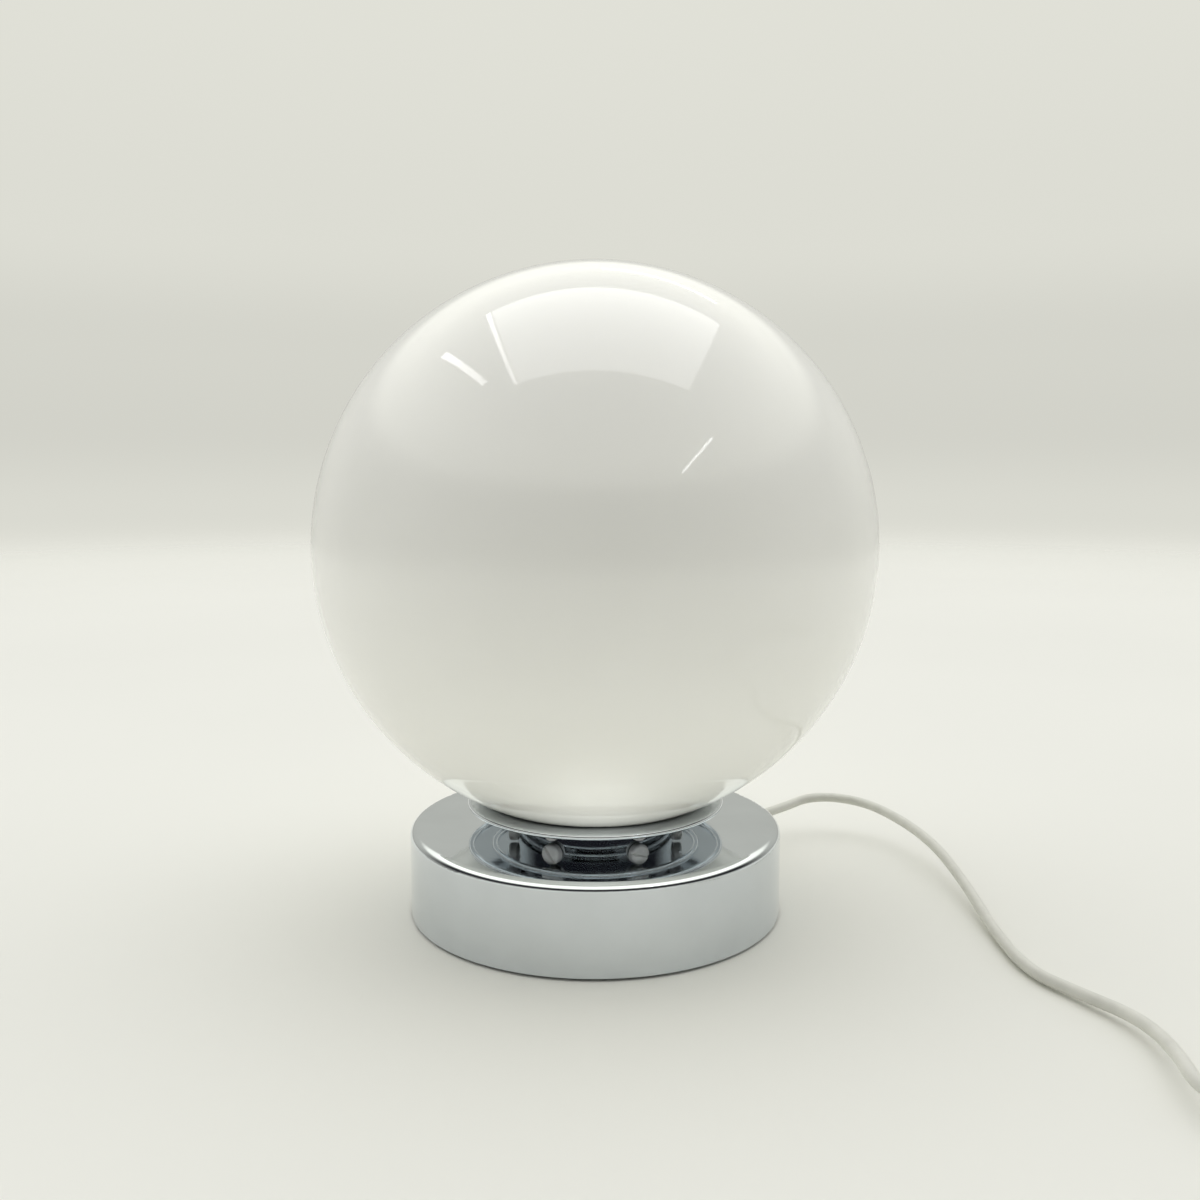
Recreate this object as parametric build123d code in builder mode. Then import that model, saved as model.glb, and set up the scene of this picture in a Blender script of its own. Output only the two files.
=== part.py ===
"""Bedside lamp: an opal glass globe clamped in a chrome gallery on a low chrome drum.

Millimetres, +Z up, origin on the table under the middle of the drum, front towards -Y.
"""
import math
import os

from build123d import *

os.makedirs("parts", exist_ok=True)

# Glass globe
globe_radius = 100.0
globe_wall = 3.0
globe_pole_gap = 1.5
neck_outer_radius = 26.6
neck_lip_round = 1.2
shoulder_height = 9.6
shoulder_round = 4.0

# Drum shaped base
base_radius = 68.0
base_height = 32.0
base_wall = 1.2
base_edge_round = 2.8
base_floor_gap = 1.0

# Gallery, the chrome cup that holds the neck of the globe
neck_gap = 1.2
gallery_wall = 1.2
gallery_floor = 1.0
flange_reach = 9.4
flange_thickness = 0.9
flange_bead_radius = 1.1
seat_gap = 0.3

# Clamp screws of the gallery
screw_count = 6
screw_first_angle = -60.0
screw_height = 4.2
screw_head_radius = 3.6
screw_head_height = 2.8
screw_head_round = 1.1
screw_shank_radius = 2.0
screw_slot_width = 1.0
screw_slot_depth = 1.2
screw_slot_angles = [20.0, 75.0, 140.0, 5.0, 110.0, 52.0]
sliding_fit = 0.1

# Threaded tube, nuts and washer on the lamp's axis
tube_radius = 5.0
tube_bore_radius = 3.6
tube_end = 0.8
tube_rise = 10.0
nut_across_flats = 14.0
nut_thickness = 3.0
washer_radius = 9.0
washer_thickness = 0.8
loose_fit = 0.2

# Cast weight inside the drum, bottom plate and felt
weight_radius = 52.0
weight_thickness = 10.0
weight_edge_round = 1.5
leg_radius = 5.0
leg_circle_radius = 45.0
leg_count = 3
leg_first_angle = 103.0
bottom_plate_thickness = 1.2
bottom_plate_gap = 0.4
felt_thickness = 2.2
felt_margin = 1.4
cover_screw_radius = 1.6
cover_screw_head_radius = 2.5
cover_screw_length = 9.0

# Lampholder
hub_radius = 8.0
hub_height = 6.0
holder_radius = 13.5
holder_wall = 2.0
holder_cap_height = 22.0
holder_cone_height = 6.0
holder_skirt_height = 34.0
holder_rib_radius = 14.6
holder_rib_height = 3.0
core_height = 10.0
core_drop = 2.0
sleeve_inner_radius = 7.3
sleeve_wall = 0.6
sleeve_height = 22.0
contact_strip_width = 3.6
contact_strip_thickness = 0.4
contact_strip_rise = 2.2
terminal_screw_radius = 1.5
terminal_screw_length = 4.0
terminal_offset = 5.0

# Light bulb
bulb_radius = 22.5
bulb_wall = 0.9
bulb_cap_radius = 6.95
bulb_cap_length = 17.0
bulb_flange_radius = 8.4
bulb_flange_height = 2.0
bulb_tip_radius = 2.4
bulb_tip_height = 1.5
bulb_insulator_height = 2.6
bulb_neck_radius = 7.6
bulb_glass_height = 52.0

# Mains cord
cord_radius = 2.0
cord_bore_gap = 0.15
cord_exit_angle = 43.0
cord_exit_height = 13.0
cord_low_height = 8.0
cord_inner_bend = 7.0
cord_inner_end = 3.0
arc_share = 0.45
lead_radius = 0.8
lead_bend = 2.0

# Bushing where the cord leaves the drum
bushing_neck_radius = 4.0
bushing_flange_radius = 6.0
bushing_flange_thickness = 1.5
bushing_root_radius = 4.6
bushing_tip_radius = 3.0
bushing_length = 22.0
bushing_wall_gap = 0.4

# Cord clamp under the weight
clamp_distance = 34.0
clamp_length = 9.0
clamp_width = 24.0
clamp_below_cord = 4.0
clamp_screw_spread = 8.0
clamp_screw_radius = 1.5
clamp_screw_head_radius = 2.8
clamp_screw_head_height = 2.0
clamp_screw_grip = 6.0

# Rocker switch on the cord
switch_length = 54.0
switch_width = 24.0
switch_lower_height = 7.0
switch_upper_height = 8.0
switch_corner = 9.0
switch_wall = 1.8
switch_side_wall = 3.0
switch_edge_round = 2.4
switch_seam = 0.35
window_length = 16.4
window_width = 10.0
rocker_length = 14.6
rocker_width = 9.2
rocker_tilt = 8.0
rocker_rise = 2.0
rocker_sink = 2.4
rocker_crown_radius = 22.0
rocker_edge_round = 0.6
pin_radius = 1.0
pin_drop = 4.0
pin_end_gap = 0.3
boss_radius = 2.4
boss_spread = 19.0
switch_screw_radius = 1.1
switch_screw_head_radius = 2.0
switch_screw_reach = 4.0
terminal_length = 7.0
terminal_width = 6.0
terminal_height = 4.0
terminal_spread = 12.0

# Coil of the cord that is put away
coil_inner_radius = 16.0
coil_turn_gap = 0.5
coil_half_turns = 8
coil_tail = 2.0 * cord_radius
link_lead = 13.0
link_drop = 15.0
tail_lead = 12.0
tail_drop = 14.0
route_shift = 3.0
gap_samples = 40
tie_thickness = 0.6
tie_width = 4.0
tie_gap = 0.3
tie_side_gap = 0.9
tie_corner = 1.5

# Two pin plug
plug_width = 35.3
plug_thickness = 13.7
plug_length = 32.0
plug_waist_width = 23.0
plug_root_width = 13.8
plug_root_thickness = 11.0
plug_waist_share = 0.45
plug_corner = 5.0
plug_tail_radius = 3.4
plug_tail_length = 14.0
plug_root_radius = 4.6
plug_edge_round = 1.2
tail_groove_count = 4
tail_groove_width = 1.3
tail_groove_depth = 0.8
plug_floor_gap = 0.1
prong_radius = 2.0
prong_length = 19.0
prong_spread = 18.6
prong_sleeve_wall = 0.45
prong_sleeve_length = 10.0
prong_root = 6.0

# Heights that the stack on the axis gives
plate_top = base_height
plate_under = base_height - base_wall
weight_under = plate_under - weight_thickness
washer_under = weight_under - washer_thickness
lower_nut_under = washer_under - nut_thickness
tube_under = lower_nut_under - tube_end
gallery_floor_top = plate_top + gallery_floor
upper_nut_top = gallery_floor_top + nut_thickness
tube_top = upper_nut_top + tube_rise
bottom_plate_under = felt_thickness
bottom_plate_top = bottom_plate_under + bottom_plate_thickness

# Heights of the globe and gallery
globe_centre = plate_top + globe_pole_gap + globe_radius
gallery_radius = neck_outer_radius + neck_gap + gallery_wall
flange_radius = gallery_radius + flange_reach
shoulder = plate_top + shoulder_height
neck_under = gallery_floor_top + seat_gap
flange_top = shoulder - seat_gap
flange_under = flange_top - flange_thickness
screw_axis = plate_top + screw_height

# Heights of the lampholder and bulb
cap_under = upper_nut_top
cap_top = cap_under + holder_cap_height
core_top = cap_top + core_height - core_drop
bulb_under = core_top + contact_strip_rise + contact_strip_thickness + seat_gap
bulb_insulator_under = bulb_under + bulb_tip_height
bulb_cap_under = bulb_insulator_under + bulb_insulator_height
bulb_cap_top = bulb_cap_under + bulb_cap_length
bulb_glass_under = bulb_cap_top
bulb_centre = bulb_glass_under + bulb_glass_height - bulb_radius

# Directions of the cord's exit
exit_x = math.cos(math.radians(cord_exit_angle))
exit_y = math.sin(math.radians(cord_exit_angle))
bushing_start = base_radius + bushing_wall_gap
bushing_tip = bushing_start + bushing_length
inner_wall = base_radius - base_wall
bushing_inner_end = inner_wall - bushing_wall_gap - bushing_flange_thickness


def exit_point(distance, height):
    """Point on the upright plane that the cord leaves the drum in."""
    return (distance * exit_x, distance * exit_y, height)


def arc_radii(points):
    """Radius at each corner of a route, as large as the shorter run beside it allows."""
    radii = []
    for before, corner, after in zip(points, points[1:], points[2:]):
        arriving = Vector(*corner) - Vector(*before)
        leaving = Vector(*after) - Vector(*corner)
        half_turn = math.radians(arriving.get_angle(leaving)) / 2
        shorter = min(arriving.length, leaving.length)
        radii.append(arc_share * shorter / math.tan(half_turn))
    return radii


def report_tube(name, solid, path_length, radii):
    """Print a tube's length, least radius and volume against its section times its length."""
    wanted = math.pi * cord_radius**2 * path_length
    print(f"{name}: length {path_length:.1f}, least radius {min(radii):.1f}")
    print(f"{name}: volume {solid.volume:.1f}, section times length {wanted:.1f}")


# Base shell: a deep drawn drum, open below
with BuildPart() as base_shell:
    with BuildSketch(Plane.XY.offset(base_floor_gap)):
        Circle(base_radius)
    extrude(amount=base_height - base_floor_gap)
    fillet(base_shell.edges().sort_by(Axis.Z)[-1], base_edge_round)
    offset(amount=-base_wall, openings=base_shell.faces().sort_by(Axis.Z)[0])
    with BuildSketch(Plane.XY.offset(base_height)):
        Circle(tube_radius + loose_fit)
    extrude(amount=-2 * base_wall, mode=Mode.SUBTRACT)
    cord_hole = Plane(exit_point(0, cord_exit_height), z_dir=(exit_x, exit_y, 0))
    with BuildSketch(cord_hole.offset(inner_wall - base_wall)):
        Circle(bushing_neck_radius + loose_fit)
    extrude(amount=3 * base_wall, mode=Mode.SUBTRACT)
base_shell.part.label = "base_shell"
export_step(base_shell.part, "parts/base_shell.step")

# Weight: an iron casting with three legs that carry the bottom plate
clamp_plane = Plane(
    exit_point(clamp_distance, weight_under), x_dir=(-exit_y, exit_x, 0), z_dir=(0, 0, -1)
)
with BuildPart() as weight:
    with BuildSketch(Plane.XY.offset(weight_under)):
        Circle(weight_radius)
    extrude(amount=weight_thickness)
    fillet(weight.edges().filter_by(GeomType.CIRCLE), weight_edge_round)
    with BuildSketch(Plane.XY.offset(bottom_plate_top)):
        with PolarLocations(leg_circle_radius, leg_count, start_angle=leg_first_angle):
            Circle(leg_radius)
    extrude(amount=weight_under + weight_edge_round - bottom_plate_top)
    with BuildSketch(Plane.XY.offset(bottom_plate_top)):
        with PolarLocations(leg_circle_radius, leg_count, start_angle=leg_first_angle):
            Circle(cover_screw_radius + sliding_fit)
    extrude(amount=cover_screw_length, mode=Mode.SUBTRACT)
    with BuildSketch(clamp_plane):
        with GridLocations(2 * clamp_screw_spread, 0, 2, 1):
            Circle(clamp_screw_radius + sliding_fit)
    extrude(amount=-clamp_screw_grip - seat_gap, mode=Mode.SUBTRACT)
    with BuildSketch(Plane.XY.offset(weight_under)):
        Circle(tube_radius + loose_fit)
    extrude(amount=weight_thickness, mode=Mode.SUBTRACT)
weight.part.label = "weight"
export_step(weight.part, "parts/weight.step")

# Bottom plate: closes the drum, with countersunk holes for its screws
cover_screw_sink = cover_screw_head_radius - cover_screw_radius
with BuildPart() as bottom_plate:
    with BuildSketch(Plane.XY.offset(bottom_plate_under)):
        Circle(inner_wall - bottom_plate_gap)
        with PolarLocations(leg_circle_radius, leg_count, start_angle=leg_first_angle):
            Circle(cover_screw_radius + sliding_fit, mode=Mode.SUBTRACT)
    extrude(amount=bottom_plate_thickness)
    countersinks = bottom_plate.edges().filter_by(GeomType.CIRCLE).group_by(Axis.Z)[0]
    chamfer(countersinks.sort_by(SortBy.RADIUS)[:leg_count], cover_screw_sink)
bottom_plate.part.label = "bottom_plate"
export_step(bottom_plate.part, "parts/bottom_plate.step")

# Screws of the bottom plate, flush with its lower face
with BuildPart() as cover_screws:
    with BuildSketch(Plane.XY.offset(bottom_plate_under)):
        with PolarLocations(leg_circle_radius, leg_count, start_angle=leg_first_angle):
            Circle(cover_screw_radius)
    extrude(amount=cover_screw_length)
    with BuildSketch(Plane.XY.offset(bottom_plate_under)):
        with PolarLocations(leg_circle_radius, leg_count, start_angle=leg_first_angle):
            Circle(cover_screw_head_radius)
    extrude(amount=cover_screw_sink, taper=45)
cover_screws.part.label = "cover_screws"
export_step(cover_screws.part, "parts/cover_screws.step")

# Felt pad glued under the bottom plate
with BuildPart() as felt_pad:
    with BuildSketch():
        Circle(inner_wall - felt_margin)
    extrude(amount=felt_thickness)
felt_pad.part.label = "felt_pad"
export_step(felt_pad.part, "parts/felt_pad.step")

# Gallery: floor, wall and a flange with a rolled bead
with BuildPart() as gallery:
    with BuildSketch(Plane.XZ):
        with BuildLine():
            Polyline(
                (tube_radius + loose_fit, plate_top),
                (gallery_radius, plate_top),
                (gallery_radius, flange_under),
                (flange_radius - flange_bead_radius, flange_under),
                (flange_radius - flange_bead_radius, flange_top),
                (gallery_radius - gallery_wall, flange_top),
                (gallery_radius - gallery_wall, gallery_floor_top),
                (tube_radius + loose_fit, gallery_floor_top),
                close=True,
            )
        make_face()
        with Locations((flange_radius - flange_bead_radius, flange_top - flange_bead_radius)):
            Circle(flange_bead_radius)
    revolve(axis=Axis.Z)
    for number in range(screw_count):
        angle = screw_first_angle + number * 360 / screw_count
        outward = (math.cos(math.radians(angle)), math.sin(math.radians(angle)), 0)
        hole_plane = Plane((0, 0, screw_axis), z_dir=outward)
        with BuildSketch(hole_plane.offset(gallery_radius - 2 * gallery_wall)):
            Circle(screw_shank_radius + sliding_fit)
        extrude(amount=3 * gallery_wall, mode=Mode.SUBTRACT)
gallery.part.label = "gallery"
export_step(gallery.part, "parts/gallery.step")

# Clamp screws: domed slotted heads, spaced round the gallery
head_seat = gallery_radius + seat_gap
shank_tip = neck_outer_radius + seat_gap
for number in range(screw_count):
    angle = screw_first_angle + number * 360 / screw_count
    outward = (math.cos(math.radians(angle)), math.sin(math.radians(angle)), 0)
    screw_plane = Plane((0, 0, screw_axis), z_dir=outward)
    with BuildPart() as clamp_screw:
        with BuildSketch(screw_plane.offset(head_seat)):
            Circle(screw_head_radius)
        extrude(amount=screw_head_height)
        head_rim = clamp_screw.edges().filter_by(GeomType.CIRCLE).sort_by_distance((0, 0, screw_axis))[-1]
        fillet(head_rim, screw_head_round)
        with BuildSketch(screw_plane.offset(head_seat + screw_head_height)):
            Rectangle(3 * screw_head_radius, screw_slot_width, rotation=screw_slot_angles[number])
        extrude(amount=-screw_slot_depth, mode=Mode.SUBTRACT)
        with BuildSketch(screw_plane.offset(shank_tip)):
            Circle(screw_shank_radius)
        extrude(amount=head_seat - shank_tip)
    clamp_screw.part.label = f"clamp_screw_{number + 1}"
    export_step(clamp_screw.part, f"parts/clamp_screw_{number + 1}.step")

# Globe: a blown shell with a flat shoulder and a straight neck
shoulder_radius = math.sqrt(globe_radius**2 - (globe_centre - shoulder) ** 2)
inner_radius = globe_radius - globe_wall
inner_shoulder = shoulder + globe_wall
inner_shoulder_radius = math.sqrt(inner_radius**2 - (globe_centre - inner_shoulder) ** 2)
neck_inner_radius = neck_outer_radius - globe_wall
with BuildPart() as globe:
    with BuildSketch(Plane.XZ) as globe_profile:
        with BuildLine():
            Polyline(
                (neck_inner_radius, inner_shoulder),
                (neck_inner_radius, neck_under),
                (neck_outer_radius, neck_under),
                (neck_outer_radius, shoulder),
                (shoulder_radius, shoulder),
            )
            ThreePointArc(
                (shoulder_radius, shoulder),
                (globe_radius, globe_centre),
                (0, globe_centre + globe_radius),
            )
            Line((0, globe_centre + globe_radius), (0, globe_centre + inner_radius))
            ThreePointArc(
                (0, globe_centre + inner_radius),
                (inner_radius, globe_centre),
                (inner_shoulder_radius, inner_shoulder),
            )
            Line((inner_shoulder_radius, inner_shoulder), (neck_inner_radius, inner_shoulder))
        make_face()
        lip = globe_profile.vertices().group_by(Axis.Y)[0]
        fillet(lip, neck_lip_round)
        waist = globe_profile.vertices().sort_by_distance((neck_inner_radius, inner_shoulder))[0]
        fillet(waist, neck_lip_round)
        crease = globe_profile.vertices().sort_by_distance((shoulder_radius, shoulder))[0]
        fillet(crease, shoulder_round)
    revolve(axis=Axis.Z)
globe.part.label = "globe"
export_step(globe.part, "parts/globe.step")

# Threaded tube that holds the stack together and carries the cord up
with BuildPart() as threaded_tube:
    with BuildSketch(Plane.XY.offset(tube_under)):
        Circle(tube_radius)
        Circle(tube_bore_radius, mode=Mode.SUBTRACT)
    extrude(amount=tube_top - tube_under)
threaded_tube.part.label = "threaded_tube"
export_step(threaded_tube.part, "parts/threaded_tube.step")

# Nuts above and below, and the washer
for nut_name, nut_under in (("lower_nut", lower_nut_under), ("upper_nut", gallery_floor_top)):
    with BuildPart() as nut:
        with BuildSketch(Plane.XY.offset(nut_under)):
            RegularPolygon(nut_across_flats / 2, 6, major_radius=False)
            Circle(tube_radius + sliding_fit, mode=Mode.SUBTRACT)
        extrude(amount=nut_thickness)
    nut.part.label = nut_name
    export_step(nut.part, f"parts/{nut_name}.step")

with BuildPart() as washer:
    with BuildSketch(Plane.XY.offset(washer_under)):
        Circle(washer_radius)
        Circle(tube_radius + sliding_fit, mode=Mode.SUBTRACT)
    extrude(amount=washer_thickness)
washer.part.label = "washer"
export_step(washer.part, "parts/washer.step")

# Lampholder cap: threaded hub, cone and collar
cone_under = cap_under + hub_height
cone_top = cone_under + holder_cone_height
holder_inner_radius = holder_radius - holder_wall
hub_bore = tube_radius + sliding_fit
with BuildPart() as holder_cap:
    with BuildSketch(Plane.XZ):
        with BuildLine():
            Polyline(
                (hub_bore, cap_under),
                (hub_radius, cap_under),
                (hub_radius, cone_under),
                (holder_radius, cone_top),
                (holder_radius, cap_top),
                (holder_inner_radius, cap_top),
                (holder_inner_radius, cone_top + holder_wall),
                (hub_bore, cone_under + holder_wall),
                close=True,
            )
        make_face()
    revolve(axis=Axis.Z)
holder_cap.part.label = "holder_cap"
export_step(holder_cap.part, "parts/holder_cap.step")

# Lampholder skirt with a gripping rib at its middle
rib_under = cap_top + (holder_skirt_height - holder_rib_height) / 2
with BuildPart() as holder_skirt:
    with BuildSketch(Plane.XY.offset(cap_top)):
        Circle(holder_radius)
    extrude(amount=holder_skirt_height)
    with BuildSketch(Plane.XY.offset(rib_under)):
        Circle(holder_rib_radius)
    extrude(amount=holder_rib_height)
    with BuildSketch(Plane.XY.offset(cap_top)):
        Circle(holder_inner_radius)
    extrude(amount=holder_skirt_height, mode=Mode.SUBTRACT)
    fillet(holder_skirt.edges().group_by(Axis.Z)[-1], holder_wall / 3)
holder_skirt.part.label = "holder_skirt"
export_step(holder_skirt.part, "parts/holder_skirt.step")

# Core of the lampholder, with channels for the two leads
core_under = core_top - core_height
with BuildPart() as holder_core:
    with BuildSketch(Plane.XY.offset(core_under)):
        Circle(holder_inner_radius - loose_fit)
    extrude(amount=core_height)
    with BuildSketch(Plane.XY.offset(core_under)):
        with GridLocations(2 * terminal_offset, 0, 2, 1):
            Circle(terminal_screw_radius + sliding_fit)
    extrude(amount=terminal_screw_length + seat_gap, mode=Mode.SUBTRACT)
holder_core.part.label = "holder_core"
export_step(holder_core.part, "parts/holder_core.step")

# Terminal screws in the underside of the core
with BuildPart() as terminal_screws:
    with BuildSketch(Plane.XY.offset(core_under)):
        with GridLocations(2 * terminal_offset, 0, 2, 1):
            Circle(terminal_screw_radius)
    extrude(amount=terminal_screw_length)
terminal_screws.part.label = "terminal_screws"
export_step(terminal_screws.part, "parts/terminal_screws.step")

# Screw sleeve for the bulb, with a foot that stands on the core
sleeve_outer_radius = sleeve_inner_radius + sleeve_wall
with BuildPart() as screw_sleeve:
    with BuildSketch(Plane.XY.offset(core_top)):
        Circle(holder_inner_radius - 2 * loose_fit)
    extrude(amount=sleeve_wall)
    with BuildSketch(Plane.XY.offset(core_top)):
        Circle(sleeve_outer_radius)
    extrude(amount=sleeve_height)
    with BuildSketch(Plane.XY.offset(core_top)):
        Circle(sleeve_inner_radius)
    extrude(amount=sleeve_height, mode=Mode.SUBTRACT)
screw_sleeve.part.label = "screw_sleeve"
export_step(screw_sleeve.part, "parts/screw_sleeve.step")

# Sprung strip that meets the tip of the bulb
strip_reach = sleeve_inner_radius - 2 * seat_gap
strip_knee = strip_reach / 2
strip_top = core_top + contact_strip_rise
with BuildPart() as centre_contact:
    with BuildSketch(Plane.XZ):
        with BuildLine():
            Polyline(
                (-strip_reach, core_top),
                (-strip_knee, core_top),
                (0, strip_top),
                (strip_knee, strip_top - contact_strip_thickness),
                (strip_knee, strip_top),
                (0, strip_top + contact_strip_thickness),
                (-strip_knee, core_top + contact_strip_thickness),
                (-strip_reach, core_top + contact_strip_thickness),
                close=True,
            )
        make_face()
    extrude(amount=contact_strip_width / 2, both=True)
centre_contact.part.label = "centre_contact"
export_step(centre_contact.part, "parts/centre_contact.step")

# Bulb: tip, insulator, cap and glass
with BuildPart() as bulb_tip:
    with BuildSketch(Plane.XY.offset(bulb_under)):
        Circle(bulb_tip_radius)
    extrude(amount=bulb_tip_height)
    fillet(bulb_tip.edges().group_by(Axis.Z)[0], bulb_tip_height / 2)
bulb_tip.part.label = "bulb_tip"
export_step(bulb_tip.part, "parts/bulb_tip.step")

with BuildPart() as bulb_insulator:
    with BuildSketch(Plane.XZ):
        with BuildLine():
            Polyline(
                (0, bulb_insulator_under),
                (bulb_tip_radius + sleeve_wall, bulb_insulator_under),
                (bulb_cap_radius - sleeve_wall, bulb_cap_under),
                (0, bulb_cap_under),
                close=True,
            )
        make_face()
    revolve(axis=Axis.Z)
bulb_insulator.part.label = "bulb_insulator"
export_step(bulb_insulator.part, "parts/bulb_insulator.step")

with BuildPart() as bulb_cap:
    with BuildSketch(Plane.XY.offset(bulb_cap_under)):
        Circle(bulb_cap_radius)
    extrude(amount=bulb_cap_length)
    fillet(bulb_cap.edges().group_by(Axis.Z)[0], sleeve_wall)
    with BuildSketch(Plane.XY.offset(bulb_cap_top - bulb_flange_height)):
        Circle(bulb_flange_radius)
    extrude(amount=bulb_flange_height)
bulb_cap.part.label = "bulb_cap"
export_step(bulb_cap.part, "parts/bulb_cap.step")

bulb_equator = (bulb_radius, bulb_centre)
bulb_crown = (0, bulb_centre + bulb_radius)
bulb_neck = (bulb_neck_radius, bulb_glass_under)
with BuildPart() as bulb_glass:
    with BuildSketch(Plane.XZ):
        with BuildLine():
            Spline(bulb_neck, bulb_equator, tangents=[(0, 1), (0, 1)])
            RadiusArc(bulb_equator, bulb_crown, -bulb_radius)
            Line(bulb_crown, (0, bulb_glass_under))
            Line((0, bulb_glass_under), bulb_neck)
        make_face()
    revolve(axis=Axis.Z)
    offset(amount=-bulb_wall, openings=bulb_glass.faces().sort_by(Axis.Z)[0])
bulb_glass.part.label = "bulb_glass"
export_step(bulb_glass.part, "parts/bulb_glass.step")

# Bushing: snaps into the drum's wall and tapers out along the cord
bushing_plane = Plane(
    exit_point(0, cord_exit_height), x_dir=(exit_x, exit_y, 0), z_dir=(exit_y, -exit_x, 0)
)
cord_bore_radius = cord_radius + cord_bore_gap
bushing_outer_flange = bushing_start + bushing_flange_thickness
with BuildPart() as cord_bushing:
    with BuildSketch(bushing_plane):
        with BuildLine():
            Polyline(
                (bushing_inner_end, cord_bore_radius),
                (bushing_inner_end, bushing_flange_radius - bushing_flange_thickness),
                (bushing_inner_end + bushing_flange_thickness, bushing_flange_radius),
                (bushing_inner_end + bushing_flange_thickness, bushing_neck_radius),
                (bushing_start, bushing_neck_radius),
                (bushing_start, bushing_flange_radius),
                (bushing_outer_flange, bushing_flange_radius),
                (bushing_outer_flange, bushing_root_radius),
                (bushing_tip, bushing_tip_radius),
                (bushing_tip, cord_bore_radius),
                close=True,
            )
        make_face()
    revolve(axis=Axis(exit_point(0, cord_exit_height), (exit_x, exit_y, 0)))
cord_bushing.part.label = "cord_bushing"
export_step(cord_bushing.part, "parts/cord_bushing.step")

# Cord inside the lamp: from the bushing's tip to the lampholder, up the tube
inner_route = [
    exit_point(bushing_tip, cord_exit_height),
    exit_point(bushing_inner_end - bushing_length / 2, cord_exit_height),
    (0, 0, cord_low_height),
    (0, 0, tube_top + cord_inner_end),
]
inner_radii = [arc_radii(inner_route)[0], cord_inner_bend]
with BuildPart() as inner_cord:
    with BuildLine() as inner_path:
        FilletPolyline(*inner_route, radius=inner_radii)
    with BuildSketch(Plane(inner_route[0], z_dir=(-exit_x, -exit_y, 0))):
        Circle(cord_radius)
    sweep(path=inner_path.line)
inner_cord.part.label = "inner_cord"
export_step(inner_cord.part, "parts/inner_cord.step")

# Leads from the end of the cord to the terminals
lead_start = tube_top + cord_inner_end
with BuildPart() as lead_wires:
    for side in (-1, 1):
        lead_route = [
            (side * (cord_radius - lead_radius), 0, lead_start),
            (side * (cord_radius - lead_radius), 0, lead_start + lead_bend),
            (side * terminal_offset, 0, core_under - 2 * lead_bend),
            (side * terminal_offset, 0, core_under),
        ]
        with BuildLine() as lead_path:
            FilletPolyline(*lead_route, radius=lead_bend / 2)
        with BuildSketch(Plane(lead_route[0])):
            Circle(lead_radius)
        sweep(path=lead_path.line)
lead_wires.part.label = "lead_wires"
export_step(lead_wires.part, "parts/lead_wires.step")

# Cord clamp: a block under the weight that the cord passes through
slope_run = bushing_inner_end - bushing_length / 2
slope = (cord_exit_height - cord_low_height) / slope_run
clamp_cord_height = cord_low_height + slope * clamp_distance
clamp_under = clamp_cord_height - clamp_below_cord
clamp_height = weight_under - clamp_under
with BuildPart() as cord_clamp:
    with BuildSketch(clamp_plane):
        RectangleRounded(clamp_width, clamp_length, clamp_length / 4)
        with GridLocations(2 * clamp_screw_spread, 0, 2, 1):
            Circle(clamp_screw_radius + sliding_fit, mode=Mode.SUBTRACT)
    extrude(amount=clamp_height)
    bore_start = exit_point(0, cord_low_height)
    with BuildSketch(Plane(bore_start, z_dir=(exit_x, exit_y, slope))):
        Circle(cord_bore_radius)
    extrude(amount=base_radius, mode=Mode.SUBTRACT)
cord_clamp.part.label = "cord_clamp"
export_step(cord_clamp.part, "parts/cord_clamp.step")

with BuildPart() as clamp_screws:
    with BuildSketch(clamp_plane.offset(clamp_height)):
        with GridLocations(2 * clamp_screw_spread, 0, 2, 1):
            Circle(clamp_screw_head_radius)
    extrude(amount=clamp_screw_head_height)
    with BuildSketch(clamp_plane.offset(clamp_height)):
        with GridLocations(2 * clamp_screw_spread, 0, 2, 1):
            Circle(clamp_screw_radius)
    extrude(amount=-clamp_height - clamp_screw_grip)
clamp_screws.part.label = "clamp_screws"
export_step(clamp_screws.part, "parts/clamp_screws.step")

# Free cord from the bushing to the switch: rises a little, comes down and lies on the table
run_route = [
    exit_point(bushing_tip, cord_exit_height),
    exit_point(bushing_tip + bushing_length, cord_exit_height),
    (100.0, 85.0, 15.6),
    (117.5, 80.5, 15.6),
    (130.2, 65.0, 14.4),
    (134.8, 37.5, 11.0),
    (135.6, 2.0, 6.0),
    (136.6, -32.0, 2.6),
    (135.4, -58.0, 2.3),
    (146.6, -81.0, 2.4),
    (157.0, -104.0, 2.5),
    (153.4, -130.0, 2.5),
    (157.4, -148.0, 2.5),
    (168.4, -162.0, 3.6),
    (184.0, -168.0, 7.0),
    (197.0, -168.0, 7.0),
]
switch_axis_height = switch_lower_height
switch_start = run_route[-1][0]
switch_y = run_route[-1][1]
switch_end = switch_start + switch_length

# Cord from the switch to the coil
coil_low = tie_thickness + tie_gap + cord_radius
coil_pitch = 2 * cord_radius + coil_turn_gap
coil_y = switch_y - route_shift
link_route = [
    (switch_end, switch_y, switch_axis_height),
    (switch_end + link_lead, switch_y, switch_axis_height),
    (switch_end + link_lead + link_drop, coil_y, coil_low),
    (switch_end + 2 * link_lead + link_drop, coil_y, coil_low),
]
coil_x = link_route[-1][0] + coil_tail

for name, route in (("cord_run", run_route), ("cord_link", link_route)):
    radii = arc_radii(route)
    with BuildPart() as tube:
        with BuildLine() as tube_path:
            FilletPolyline(*route, radius=radii)
        with BuildSketch(Plane(route[0], z_dir=tube_path.line % 0)):
            Circle(cord_radius)
        sweep(path=tube_path.line)
    tube.part.label = name
    export_step(tube.part, f"parts/{name}.step")
    report_tube(name, tube.part, tube_path.wire().length, radii)

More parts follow.
